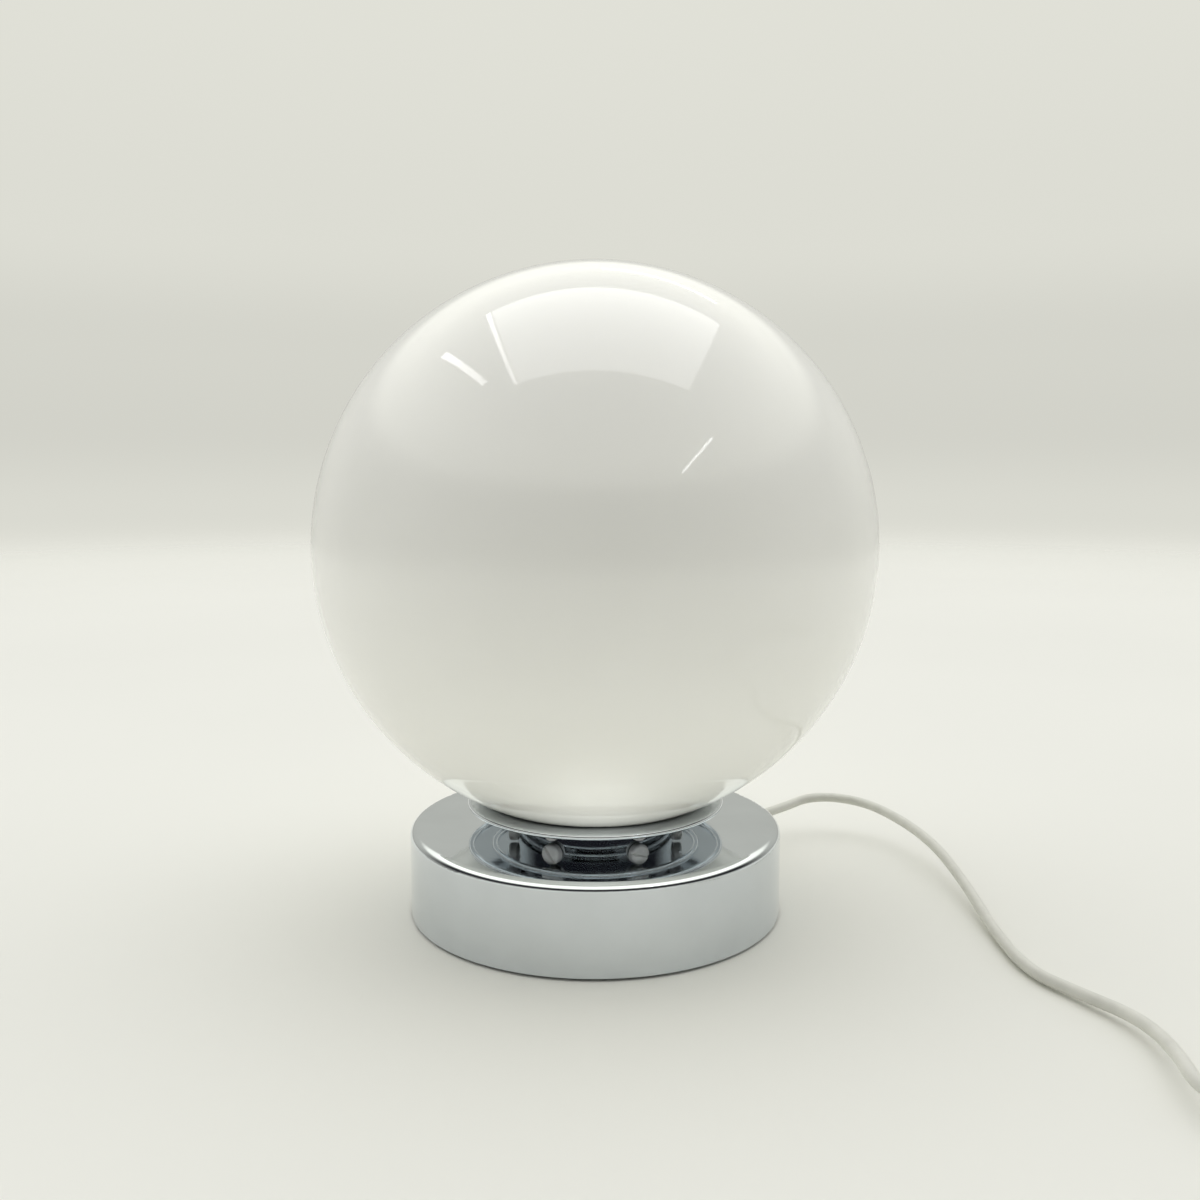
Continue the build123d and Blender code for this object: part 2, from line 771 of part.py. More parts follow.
# Coil: half turns that spiral in on the table, climb, and spiral out on top to a last quarter turn
half_step = coil_pitch / 2
turn_radii = [coil_inner_radius + half_step * number for number in range(coil_half_turns, 0, -1)]
turn_radii = turn_radii + [coil_inner_radius] + turn_radii[::-1]
coil_points = []
with BuildPart() as cord_coil:
    with BuildLine() as coil_path:
        here = Vector(coil_x, coil_y, coil_low)
        Line(here - Vector(coil_tail, 0, 0), here)
        side = 1
        for number, radius in enumerate(turn_radii[:-1]):
            climb = coil_pitch if number == coil_half_turns else 0.0
            reach = math.hypot(radius, climb / 2)
            middle = here + Vector(side * reach, side * radius, climb / 2)
            there = here + Vector(0, side * 2 * radius, climb)
            half_turn = ThreePointArc(here, middle, there)
            coil_points.append([half_turn @ (step / gap_samples) for step in range(gap_samples)])
            here = there
            side = -side
        last = turn_radii[-1]
        diagonal = last * math.sqrt(0.5)
        there = here + Vector(side * last, side * last, 0)
        middle = here + Vector(side * diagonal, side * (last - diagonal), 0)
        quarter_turn = ThreePointArc(here, middle, there)
        coil_points.append([quarter_turn @ (step / gap_samples) for step in range(gap_samples)])
        coil_end = there + Vector(0, side * coil_tail, 0)
        Line(there, coil_end)
    with BuildSketch(Plane(coil_path.line @ 0, z_dir=(1, 0, 0))):
        Circle(cord_radius)
    sweep(path=coil_path.line)
cord_coil.part.label = "cord_coil"
export_step(cord_coil.part, "parts/cord_coil.step")
report_tube("cord_coil", cord_coil.part, coil_path.wire().length, turn_radii)

# Least gap between turns of the coil, measured between points that are not on neighbouring half turns
least = min(
    (one - other).length
    for number, turn in enumerate(coil_points)
    for later in coil_points[number + 2 :]
    for one in turn
    for other in later
)
print(f"cord_coil: least gap between turns {least - 2 * cord_radius:.2f}")

# Tie round the coil's bundle
tie_y = coil_y + turn_radii[0] + half_step
tie_inner_x = coil_x + coil_inner_radius - cord_radius - tie_side_gap
tie_outer_x = coil_x + turn_radii[0] + cord_radius + tie_gap
tie_low = tie_thickness
tie_high = coil_low + coil_pitch + cord_radius + tie_gap
tie_centre = ((tie_inner_x + tie_outer_x) / 2, tie_y, (tie_low + tie_high) / 2)
tie_plane = Plane(tie_centre, x_dir=(1, 0, 0), z_dir=(0, -1, 0))
with BuildPart() as cord_tie:
    with BuildSketch(tie_plane):
        RectangleRounded(
            tie_outer_x - tie_inner_x + 2 * tie_thickness,
            tie_high - tie_low + 2 * tie_thickness,
            tie_corner + tie_thickness,
        )
        RectangleRounded(tie_outer_x - tie_inner_x, tie_high - tie_low, tie_corner, mode=Mode.SUBTRACT)
    extrude(amount=tie_width / 2, both=True)
cord_tie.part.label = "cord_tie"
export_step(cord_tie.part, "parts/cord_tie.step")

# Cord from the coil to the plug
plug_height = plug_thickness / 2 + plug_floor_gap
tail_route = [
    tuple(coil_end),
    (coil_end.X, coil_end.Y + tail_lead, coil_end.Z),
    (coil_end.X + route_shift, coil_end.Y + tail_lead + tail_drop, plug_height),
    (coil_end.X + route_shift, coil_end.Y + 2 * tail_lead + tail_drop, plug_height),
]
tail_radii = arc_radii(tail_route)
with BuildPart() as cord_tail:
    with BuildLine() as tail_path:
        FilletPolyline(*tail_route, radius=tail_radii)
    with BuildSketch(Plane(tail_route[0], z_dir=(0, 1, 0))):
        Circle(cord_radius)
    sweep(path=tail_path.line)
cord_tail.part.label = "cord_tail"
export_step(cord_tail.part, "parts/cord_tail.step")
report_tube("cord_tail", cord_tail.part, tail_path.wire().length, tail_radii)

# Switch housing, lower half: tray with bosses for its screws
switch_x = switch_start + switch_length / 2
switch_floor = Plane((switch_x, switch_y, 0))
switch_split = switch_floor.offset(switch_lower_height)
cavity_length = switch_length - 2 * switch_side_wall
cavity_width = switch_width - 2 * switch_side_wall
cavity_corner = switch_corner - switch_side_wall
with BuildPart() as switch_lower:
    with BuildSketch(switch_floor):
        RectangleRounded(switch_length, switch_width, switch_corner)
    extrude(amount=switch_lower_height)
    chamfer(switch_lower.edges().group_by(Axis.Z)[0], switch_wall / 2)
    chamfer(switch_lower.edges().group_by(Axis.Z)[-1], switch_seam)
    with BuildSketch(switch_split):
        RectangleRounded(cavity_length, cavity_width, cavity_corner)
        with GridLocations(2 * boss_spread, 0, 2, 1):
            Circle(boss_radius, mode=Mode.SUBTRACT)
    extrude(amount=switch_wall - switch_lower_height, mode=Mode.SUBTRACT)
    with BuildSketch(switch_split):
        with GridLocations(2 * boss_spread, 0, 2, 1):
            Circle(switch_screw_radius + sliding_fit)
    extrude(amount=-switch_lower_height, mode=Mode.SUBTRACT)
    with BuildSketch(switch_floor):
        with GridLocations(2 * boss_spread, 0, 2, 1):
            Circle(switch_screw_head_radius + sliding_fit)
    extrude(amount=switch_wall, mode=Mode.SUBTRACT)
switch_lower.part.label = "switch_lower"
export_step(switch_lower.part, "parts/switch_lower.step")

# Switch housing, upper half: rounded cover with the rocker's window
with BuildPart() as switch_upper:
    with BuildSketch(switch_split):
        RectangleRounded(switch_length, switch_width, switch_corner)
    extrude(amount=switch_upper_height)
    fillet(switch_upper.edges().group_by(Axis.Z)[-1], switch_edge_round)
    chamfer(switch_upper.edges().group_by(Axis.Z)[0], switch_seam)
    with BuildSketch(switch_split):
        RectangleRounded(cavity_length, cavity_width, cavity_corner)
        with GridLocations(2 * boss_spread, 0, 2, 1):
            Circle(boss_radius, mode=Mode.SUBTRACT)
    extrude(amount=switch_upper_height - switch_wall, mode=Mode.SUBTRACT)
    with BuildSketch(switch_split):
        Rectangle(window_length, window_width)
    extrude(amount=switch_upper_height, mode=Mode.SUBTRACT)
    with BuildSketch(switch_split):
        with GridLocations(2 * boss_spread, 0, 2, 1):
            Circle(switch_screw_radius + sliding_fit)
    extrude(amount=switch_screw_reach + seat_gap, mode=Mode.SUBTRACT)
switch_upper.part.label = "switch_upper"
export_step(switch_upper.part, "parts/switch_upper.step")

# Rocker: hollow topped key on its pin, tipped to the off side
switch_top = switch_lower_height + switch_upper_height
pin_height = switch_top - pin_drop
tilt = math.radians(rocker_tilt)
rocker_plane = Plane(
    (switch_x, switch_y, pin_height),
    x_dir=(math.cos(tilt), 0, math.sin(tilt)),
    z_dir=(0, -1, 0),
)
key_top = pin_drop + rocker_rise
with BuildPart() as switch_rocker:
    with BuildSketch(rocker_plane):
        with BuildLine():
            RadiusArc(
                (-rocker_length / 2, key_top), (rocker_length / 2, key_top), -rocker_crown_radius
            )
            Polyline(
                (rocker_length / 2, key_top),
                (rocker_length / 2, 0),
                (rocker_length / 4, -rocker_sink),
                (-rocker_length / 4, -rocker_sink),
                (-rocker_length / 2, 0),
                (-rocker_length / 2, key_top),
            )
        make_face()
    extrude(amount=rocker_width / 2, both=True)
    crown = switch_rocker.faces().filter_by(GeomType.CYLINDER)
    fillet(crown.edges(), rocker_edge_round)
    with BuildSketch(rocker_plane):
        Circle(pin_radius + sliding_fit)
    extrude(amount=rocker_width / 2, both=True, mode=Mode.SUBTRACT)
switch_rocker.part.label = "switch_rocker"
export_step(switch_rocker.part, "parts/switch_rocker.step")

with BuildPart() as rocker_pin:
    with BuildSketch(rocker_plane):
        Circle(pin_radius)
    extrude(amount=cavity_width / 2 - pin_end_gap, both=True)
rocker_pin.part.label = "rocker_pin"
export_step(rocker_pin.part, "parts/rocker_pin.step")

# Screws that join the halves of the switch
with BuildPart() as switch_screws:
    with BuildSketch(switch_floor.offset(switch_wall / 2)):
        with GridLocations(2 * boss_spread, 0, 2, 1):
            Circle(switch_screw_head_radius)
    extrude(amount=switch_wall / 2)
    with BuildSketch(switch_floor.offset(switch_wall)):
        with GridLocations(2 * boss_spread, 0, 2, 1):
            Circle(switch_screw_radius)
    extrude(amount=switch_lower_height - switch_wall + switch_screw_reach)
switch_screws.part.label = "switch_screws"
export_step(switch_screws.part, "parts/switch_screws.step")

# Brass terminals on the floor of the switch
with BuildPart() as switch_terminals:
    with BuildSketch(switch_floor.offset(switch_wall)):
        with GridLocations(2 * terminal_spread, 0, 2, 1):
            Rectangle(terminal_length, terminal_width)
    extrude(amount=terminal_height)
switch_terminals.part.label = "switch_terminals"
export_step(switch_terminals.part, "parts/switch_terminals.step")

# Plug: flat moulded body with a waist, and a tapered tail round the cord
plug_rear = Plane(tail_route[-1], x_dir=(1, 0, 0), z_dir=(0, 1, 0))
plug_root = plug_rear.offset(plug_tail_length)
plug_face = plug_root.offset(plug_length)
with BuildPart() as plug_body:
    with BuildSketch(plug_root):
        RectangleRounded(plug_root_width, plug_root_thickness, plug_corner)
    with BuildSketch(plug_root.offset(plug_length * plug_waist_share)):
        RectangleRounded(plug_waist_width, plug_thickness, plug_corner)
    with BuildSketch(plug_face):
        RectangleRounded(plug_width, plug_thickness, plug_corner)
    loft(ruled=True)
    for end in (0, -1):
        fillet(plug_body.faces().sort_by(Axis.Y)[end].outer_wire().edges(), plug_edge_round)
    with BuildSketch(plug_rear):
        Circle(plug_tail_radius)
    with BuildSketch(plug_root):
        Circle(plug_root_radius)
    loft()
    groove_step = plug_tail_length / (tail_groove_count + 1)
    for number in range(tail_groove_count):
        along = groove_step * (number + 1)
        taper = (plug_root_radius - plug_tail_radius) * along / plug_tail_length
        with BuildSketch(plug_rear.offset(along - tail_groove_width / 2)):
            Circle(plug_root_radius + tail_groove_depth)
            Circle(plug_tail_radius + taper - tail_groove_depth, mode=Mode.SUBTRACT)
        extrude(amount=tail_groove_width, mode=Mode.SUBTRACT)
    with BuildSketch(plug_face):
        with GridLocations(prong_spread, 0, 2, 1):
            Circle(prong_radius)
    extrude(amount=-prong_root, mode=Mode.SUBTRACT)
plug_body.part.label = "plug_body"
export_step(plug_body.part, "parts/plug_body.step")

# Insulating sleeves on the roots of the prongs
with BuildPart() as prong_sleeves:
    with BuildSketch(plug_face):
        with GridLocations(prong_spread, 0, 2, 1):
            Circle(prong_radius)
            Circle(prong_radius - prong_sleeve_wall, mode=Mode.SUBTRACT)
    extrude(amount=prong_sleeve_length)
prong_sleeves.part.label = "prong_sleeves"
export_step(prong_sleeves.part, "parts/prong_sleeves.step")

# Prongs: slimmer inside the sleeves, full at their rounded ends
with BuildPart() as prongs:
    with BuildSketch(plug_face.offset(-prong_root)):
        with GridLocations(prong_spread, 0, 2, 1):
            Circle(prong_radius - prong_sleeve_wall)
    extrude(amount=prong_root + prong_sleeve_length)
    with BuildSketch(plug_face.offset(prong_sleeve_length)):
        with GridLocations(prong_spread, 0, 2, 1):
            Circle(prong_radius)
    extrude(amount=prong_length - prong_sleeve_length)
    fillet(prongs.edges().filter_by(GeomType.CIRCLE).group_by(Axis.Y)[-1], prong_radius / 2)
prongs.part.label = "prongs"
export_step(prongs.part, "parts/prongs.step")
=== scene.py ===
"""Looks of the bedside lamp: camera, cord, finishes, flange ring, bulb thread and studio round the model."""
import math

import bmesh
import bpy
from bpy.props import FloatProperty, FloatVectorProperty, IntProperty, PointerProperty
from mathutils import Euler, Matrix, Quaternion, Vector


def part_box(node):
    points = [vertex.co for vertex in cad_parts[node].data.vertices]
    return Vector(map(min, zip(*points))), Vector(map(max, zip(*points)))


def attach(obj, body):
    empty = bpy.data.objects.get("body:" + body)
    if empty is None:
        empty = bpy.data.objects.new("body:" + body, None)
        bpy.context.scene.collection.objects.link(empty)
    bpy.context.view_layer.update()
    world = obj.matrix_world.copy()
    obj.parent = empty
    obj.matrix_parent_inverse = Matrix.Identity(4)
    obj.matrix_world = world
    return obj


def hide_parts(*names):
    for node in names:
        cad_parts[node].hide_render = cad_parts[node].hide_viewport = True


bl_info = {
    "name": "Bedside Lamp",
    "version": (1, 0, 0),
    "blender": (4, 5, 0),
    "location": "View3D > Sidebar > Lamp",
    "description": "Dresses the bedside lamp and its studio",
    "category": "Object",
}

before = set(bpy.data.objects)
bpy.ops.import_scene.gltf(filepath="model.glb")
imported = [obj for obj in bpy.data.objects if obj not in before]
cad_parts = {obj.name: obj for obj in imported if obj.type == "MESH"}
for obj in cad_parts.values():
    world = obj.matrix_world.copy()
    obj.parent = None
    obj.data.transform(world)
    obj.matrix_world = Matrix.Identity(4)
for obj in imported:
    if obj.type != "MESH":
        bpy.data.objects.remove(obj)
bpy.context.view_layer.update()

# Which CAD nodes take which finish of the record
WHITE_PLASTIC_NODES = (
    "holder_cap", "holder_skirt", "cord_clamp", "switch_lower", "switch_upper", "switch_rocker",
)
STEEL_NODES = (
    "bottom_plate", "cover_screws", "washer", "lower_nut", "upper_nut", "clamp_screws", "rocker_pin",
    "switch_screws", "prongs",
)
CLAMP_SCREW_NODES = tuple(f"clamp_screw_{number}" for number in range(1, 7))

# Spans of a noise factor over which a finish passes from one value to the other
COLOUR_SPAN = (0.32, 0.68)
ROUGHNESS_SPAN = (0.3, 0.7)

# Edges of a turned piece that are sharper than this stay sharp
SHARP_ANGLE = math.radians(40)


def colour_property(name, description, default):
    """A linear colour without alpha."""
    return FloatVectorProperty(
        name=name, description=description, default=default, size=3, min=0.0, max=1.0, subtype="COLOR"
    )


def size_property(name, description, default):
    """A length in metres."""
    return FloatProperty(
        name=name, description=description, default=default, unit="LENGTH", subtype="DISTANCE"
    )


def level_property(name, description, default):
    """A light's strength, or a share of one."""
    return FloatProperty(name=name, description=description, default=default, min=0.0)


class LampSizes(bpy.types.PropertyGroup):
    """Sizes of the pieces that are made here."""

    cord_diameter: size_property("Cord diameter", "Thickness of the round mains cord", 0.004)
    flange_radius: size_property("Flange radius", "Reach of the gallery's flange from the axis", 0.047)
    thread_pitch: size_property("Thread pitch", "Rise of the bulb's screw thread in one turn", 0.00282)
    thread_depth: size_property("Thread depth", "Depth of the bulb's rolled thread", 0.0007)
    tube_pitch: size_property("Tube pitch", "Rise of the fine thread on the central tube", 0.001)
    turn_points: IntProperty(
        name="Coil points", description="Control points in a half turn of the coil", default=12, min=6
    )


class LampFinishes(bpy.types.PropertyGroup):
    """Colours of the finishes."""

    chrome: colour_property("Chrome", "Reflection colour of the plated metal", (0.665, 0.70, 0.73))
    opal: colour_property("Opal glass", "Body colour of the glass globe", (0.97, 0.97, 0.905))
    nickel: colour_property("Nickel", "Reflection colour of the satin clamp screws", (0.88, 0.88, 0.85))
    cord: colour_property("Cord", "Colour of the cord's sheath", (0.67, 0.67, 0.61))
    plastic: colour_property("White plastic", "Colour of the moulded white pieces", (0.76, 0.76, 0.71))
    ceramic: colour_property("Ceramic", "Colour of the glazed core", (0.78, 0.76, 0.68))
    iron: colour_property("Cast iron", "Colour of the weight", (0.045, 0.045, 0.048))
    steel: colour_property("Steel", "Reflection colour of zinc plated steel", (0.48, 0.49, 0.50))
    brass: colour_property("Brass", "Reflection colour of brass", (0.66, 0.44, 0.17))
    felt: colour_property("Felt", "Colour of the pad under the drum", (0.018, 0.018, 0.020))
    dark: colour_property("Dark plastic", "Colour of the tie and the prong sleeves", (0.022, 0.022, 0.022))


class LampStudio(bpy.types.PropertyGroup):
    """Camera, floor and light."""

    lens: FloatProperty(
        name="Lens", description="Focal length on a 36 mm sensor", default=35.41, unit="CAMERA"
    )
    camera_distance: size_property("Camera distance", "Camera's distance in front of the axis", 0.42583)
    camera_height: size_property("Camera height", "Camera's height above the floor", 0.16614)
    camera_pitch: FloatProperty(
        name="Camera pitch", description="How far the camera looks down", default=0.1216, subtype="ANGLE"
    )
    camera_yaw: FloatProperty(
        name="Camera yaw", description="How far the camera turns right", default=0.0040, subtype="ANGLE"
    )
    floor_colour: colour_property("Floor", "Colour of the floor", (0.825, 0.825, 0.765))
    front_fill: level_property("Front fill", "Light from the camera's side", 0.0)
    wall_fill: level_property("Wall fill", "Light from the pale walls all round", 1.32)
    back_share: level_property("Back share", "Part of the wall fill that comes from behind", 0.58)
    top_light: level_property("Top light", "Strength of the broad light above", 0.46)
    bounce_light: level_property("Table bounce", "Light that the table throws up at the globe", 0.30)
    spot_light: level_property("Neck spot", "Power of the narrow light on the clamp screws", 3.2)
    mirrored_share: level_property("Mirrored tone", "Tone in glass and metal against the seen tone", 0.8)
    panel_light: level_property("Panels", "Brightness of the lit panels in glass and metal", 2.0)


def settings():
    """The scene's three groups of values."""
    scene = bpy.context.scene
    return scene.lamp_sizes, scene.lamp_finishes, scene.lamp_studio


# Finishes


def new_material(name):
    """A node material, with its node tree and its shader."""
    material = bpy.data.materials.new(name)
    material.use_nodes = True
    tree = material.node_tree
    return material, tree, tree.nodes["Principled BSDF"]


def noise_at(tree, scale, detail=4.0, stretch=(1.0, 1.0, 1.0)):
    """Noise in the piece's own coordinates; scale counts features in a metre."""
    place = tree.nodes.new("ShaderNodeTexCoord")
    mapping = tree.nodes.new("ShaderNodeMapping")
    mapping.inputs["Scale"].default_value = stretch
    tree.links.new(place.outputs["Object"], mapping.inputs["Vector"])
    noise = tree.nodes.new("ShaderNodeTexNoise")
    noise.inputs["Scale"].default_value = scale
    noise.inputs["Detail"].default_value = detail
    tree.links.new(mapping.outputs["Vector"], noise.inputs["Vector"])
    return noise.outputs["Fac"]


def vary_colour(tree, shader, factor, one, other):
    """Base colour that wanders between two colours with the factor."""
    ramp = tree.nodes.new("ShaderNodeValToRGB")
    for stop, position, colour in zip(ramp.color_ramp.elements, COLOUR_SPAN, (one, other)):
        stop.position = position
        stop.color = (*colour, 1.0)
    tree.links.new(factor, ramp.inputs["Fac"])
    tree.links.new(ramp.outputs["Color"], shader.inputs["Base Color"])


def vary_roughness(tree, shader, factor, low, high):
    """Roughness between two values."""
    span = tree.nodes.new("ShaderNodeMapRange")
    span.inputs["From Min"].default_value, span.inputs["From Max"].default_value = ROUGHNESS_SPAN
    span.inputs["To Min"].default_value = low
    span.inputs["To Max"].default_value = high
    tree.links.new(factor, span.inputs["Value"])
    tree.links.new(span.outputs["Result"], shader.inputs["Roughness"])


def add_bump(tree, shader, height, strength, distance):
    """Bump from a height between 0 and 1; distance is in metres."""
    bump = tree.nodes.new("ShaderNodeBump")
    bump.inputs["Strength"].default_value = strength
    bump.inputs["Distance"].default_value = distance
    tree.links.new(height, bump.inputs["Height"])
    tree.links.new(bump.outputs["Normal"], shader.inputs["Normal"])


def shade(colour, share):
    """A darker or lighter colour."""
    return tuple(min(1.0, part * share) for part in colour)


def helix_height(tree, pitch):
    """Height from 0 to 1 of a screw thread about the lamp's axis."""
    place = tree.nodes.new("ShaderNodeTexCoord")
    split = tree.nodes.new("ShaderNodeSeparateXYZ")
    tree.links.new(place.outputs["Object"], split.inputs["Vector"])
    turn = tree.nodes.new("ShaderNodeMath")
    turn.operation = "ARCTAN2"
    tree.links.new(split.outputs["Y"], turn.inputs[0])
    tree.links.new(split.outputs["X"], turn.inputs[1])
    rise = tree.nodes.new("ShaderNodeMath")
    rise.operation = "MULTIPLY"
    rise.inputs[1].default_value = math.tau / pitch
    tree.links.new(split.outputs["Z"], rise.inputs[0])
    phase = tree.nodes.new("ShaderNodeMath")
    phase.operation = "SUBTRACT"
    tree.links.new(rise.outputs["Value"], phase.inputs[0])
    tree.links.new(turn.outputs["Value"], phase.inputs[1])
    wave = tree.nodes.new("ShaderNodeMath")
    wave.operation = "SINE"
    tree.links.new(phase.outputs["Value"], wave.inputs[0])
    level = tree.nodes.new("ShaderNodeMath")
    level.operation = "MULTIPLY_ADD"
    level.inputs[1].default_value = 0.5
    level.inputs[2].default_value = 0.5
    tree.links.new(wave.outputs["Value"], level.inputs[0])
    return level.outputs["Value"]


def chrome_finish(colour):
    """Mirror plating with faint wiping haze and the slight ripple of polished sheet."""
    material, tree, shader = new_material("chrome")
    shader.inputs["Metallic"].default_value = 1.0
    haze = noise_at(tree, 38.0, 5.0)
    vary_colour(tree, shader, haze, shade(colour, 0.96), shade(colour, 1.03))
    vary_roughness(tree, shader, noise_at(tree, 70.0, 6.0, (1.0, 1.0, 0.35)), 0.035, 0.085)
    add_bump(tree, shader, noise_at(tree, 55.0, 2.0), 0.04, 0.0004)
    return material


def nickel_finish(colour):
    """Satin plated screws with fine turning marks."""
    material, tree, shader = new_material("satin_nickel")
    shader.inputs["Metallic"].default_value = 0.4
    vary_colour(tree, shader, noise_at(tree, 400.0, 5.0), shade(colour, 0.93), shade(colour, 1.05))
    vary_roughness(tree, shader, noise_at(tree, 900.0, 4.0), 0.48, 0.62)
    add_bump(tree, shader, noise_at(tree, 1600.0, 3.0), 0.12, 0.0002)
    return material


def opal_finish(colour):
    """Milky glass with a glossy skin and the slow waves of blown glass."""
    material, tree, shader = new_material("opal_glass")
    vary_colour(tree, shader, noise_at(tree, 14.0, 3.0), shade(colour, 0.985), shade(colour, 1.01))
    vary_roughness(tree, shader, noise_at(tree, 45.0, 5.0), 0.03, 0.06)
    shader.inputs["IOR"].default_value = 1.52
    shader.inputs["Subsurface Weight"].default_value = 0.15
    shader.inputs["Subsurface Radius"].default_value = (1.0, 1.0, 0.95)
    shader.inputs["Subsurface Scale"].default_value = 0.0015
    add_bump(tree, shader, noise_at(tree, 9.0, 1.0), 0.05, 0.002)
    return material


def cord_finish(colour):
    """Soft matt sheath with fine drawn grain."""
    material, tree, shader = new_material("cord_pvc")
    vary_colour(tree, shader, noise_at(tree, 120.0, 4.0), shade(colour, 0.94), shade(colour, 1.04))
    vary_roughness(tree, shader, noise_at(tree, 300.0), 0.38, 0.52)
    add_bump(tree, shader, noise_at(tree, 1800.0, 2.0), 0.12, 0.0002)
    return material


def white_plastic_finish(colour):
    """Moulded plastic with a fine even grain."""
    material, tree, shader = new_material("white_plastic")
    vary_colour(tree, shader, noise_at(tree, 60.0), shade(colour, 0.96), shade(colour, 1.03))
    vary_roughness(tree, shader, noise_at(tree, 250.0), 0.26, 0.4)
    add_bump(tree, shader, noise_at(tree, 2600.0, 2.0), 0.1, 0.0002)
    return material


def ceramic_finish(colour):
    """Glazed core, a little uneven."""
    material, tree, shader = new_material("ceramic")
    vary_colour(tree, shader, noise_at(tree, 180.0), shade(colour, 0.93), shade(colour, 1.03))
    vary_roughness(tree, shader, noise_at(tree, 240.0), 0.1, 0.25)
    add_bump(tree, shader, noise_at(tree, 400.0, 3.0), 0.15, 0.0004)
    return material


def iron_finish(colour):
    """Sand cast skin, dull and pitted."""
    material, tree, shader = new_material("cast_iron")
    vary_colour(tree, shader, noise_at(tree, 300.0, 6.0), shade(colour, 0.7), shade(colour, 1.5))
    vary_roughness(tree, shader, noise_at(tree, 500.0), 0.6, 0.85)
    shader.inputs["Metallic"].default_value = 0.25
    add_bump(tree, shader, noise_at(tree, 900.0, 6.0), 0.5, 0.0008)
    return material


def steel_nodes(name, colour):
    """Zinc plated steel with drawn streaks; its bump is left to the caller."""
    material, tree, shader = new_material(name)
    shader.inputs["Metallic"].default_value = 1.0
    vary_colour(tree, shader, noise_at(tree, 220.0, 5.0), shade(colour, 0.9), shade(colour, 1.08))
    vary_roughness(tree, shader, noise_at(tree, 200.0, 5.0, (1.0, 1.0, 4.0)), 0.24, 0.42)
    return material, tree, shader


def steel_finish(colour):
    """Plain zinc plated steel."""
    material, tree, shader = steel_nodes("steel", colour)
    add_bump(tree, shader, noise_at(tree, 1500.0, 3.0), 0.1, 0.0002)
    return material


def tube_thread_finish(colour, pitch):
    """Steel tube with a fine thread all along it."""
    material, tree, shader = steel_nodes("threaded_steel", colour)
    add_bump(tree, shader, helix_height(tree, pitch), 0.9, 0.0005)
    return material


def brass_nodes(name, colour):
    """Drawn brass, a little tarnished; its bump is left to the caller."""
    material, tree, shader = new_material(name)
    shader.inputs["Metallic"].default_value = 1.0
    vary_colour(tree, shader, noise_at(tree, 160.0, 5.0), shade(colour, 0.82), shade(colour, 1.06))
    vary_roughness(tree, shader, noise_at(tree, 260.0, 5.0), 0.16, 0.34)
    return material, tree, shader


def brass_finish(colour):
    """Plain brass."""
    material, tree, shader = brass_nodes("brass", colour)
    add_bump(tree, shader, noise_at(tree, 1200.0, 3.0), 0.08, 0.0002)
    return material


def sleeve_thread_finish(colour, pitch):
    """Brass sleeve with the holder's rolled thread."""
    material, tree, shader = brass_nodes("threaded_brass", colour)
    add_bump(tree, shader, helix_height(tree, pitch), 0.9, 0.0008)
    return material


def felt_finish(colour):
    """Pressed wool felt with loose fibres."""
    material, tree, shader = new_material("felt")
    vary_colour(tree, shader, noise_at(tree, 1400.0, 6.0), shade(colour, 0.55), shade(colour, 1.7))
    vary_roughness(tree, shader, noise_at(tree, 900.0), 0.85, 1.0)
    shader.inputs["Sheen Weight"].default_value = 0.5
    shader.inputs["Sheen Roughness"].default_value = 0.6
    add_bump(tree, shader, noise_at(tree, 2200.0, 6.0), 0.6, 0.0006)
    return material


def dark_plastic_finish(colour):
    """Matt black plastic."""
    material, tree, shader = new_material("dark_plastic")
    vary_colour(tree, shader, noise_at(tree, 200.0), shade(colour, 0.8), shade(colour, 1.4))
    vary_roughness(tree, shader, noise_at(tree, 400.0), 0.4, 0.6)
    add_bump(tree, shader, noise_at(tree, 2400.0, 2.0), 0.15, 0.0002)
    return material


def bulb_glass_finish():
    """Frosted bulb glass, brighter where the frosting is thick."""
    material, tree, shader = new_material("bulb_glass")
    vary_colour(tree, shader, noise_at(tree, 90.0), (0.80, 0.80, 0.77), (0.86, 0.86, 0.83))
    vary_roughness(tree, shader, noise_at(tree, 400.0, 5.0), 0.3, 0.45)
    shader.inputs["IOR"].default_value = 1.5
    shader.inputs["Subsurface Weight"].default_value = 0.3
    shader.inputs["Subsurface Scale"].default_value = 0.002
    add_bump(tree, shader, noise_at(tree, 3000.0, 2.0), 0.1, 0.0002)
    return material


def black_glass_finish():
    """Black insulating glass at the foot of the bulb."""
    material, tree, shader = new_material("black_glass")
    vary_colour(tree, shader, noise_at(tree, 500.0), (0.006, 0.006, 0.008), (0.02, 0.02, 0.022))
    vary_roughness(tree, shader, noise_at(tree, 600.0), 0.08, 0.2)
    add_bump(tree, shader, noise_at(tree, 700.0, 2.0), 0.2, 0.0003)
    return material


def paint(piece, material):
    """Gives a piece one material."""
    piece.data.materials.clear()
    piece.data.materials.append(material)


def paint_nodes(names, material):
    """Gives CAD nodes a material."""
    for name in names:
        paint(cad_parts[name], material)


def add_piece(name, data):
    """Links a new object."""
    piece = bpy.data.objects.new(name, data)
    bpy.context.scene.collection.objects.link(piece)
    return piece


def turns_round(segments):
    """Evenly spaced angles, once round the axis."""
    return [math.tau * number / segments for number in range(segments)]


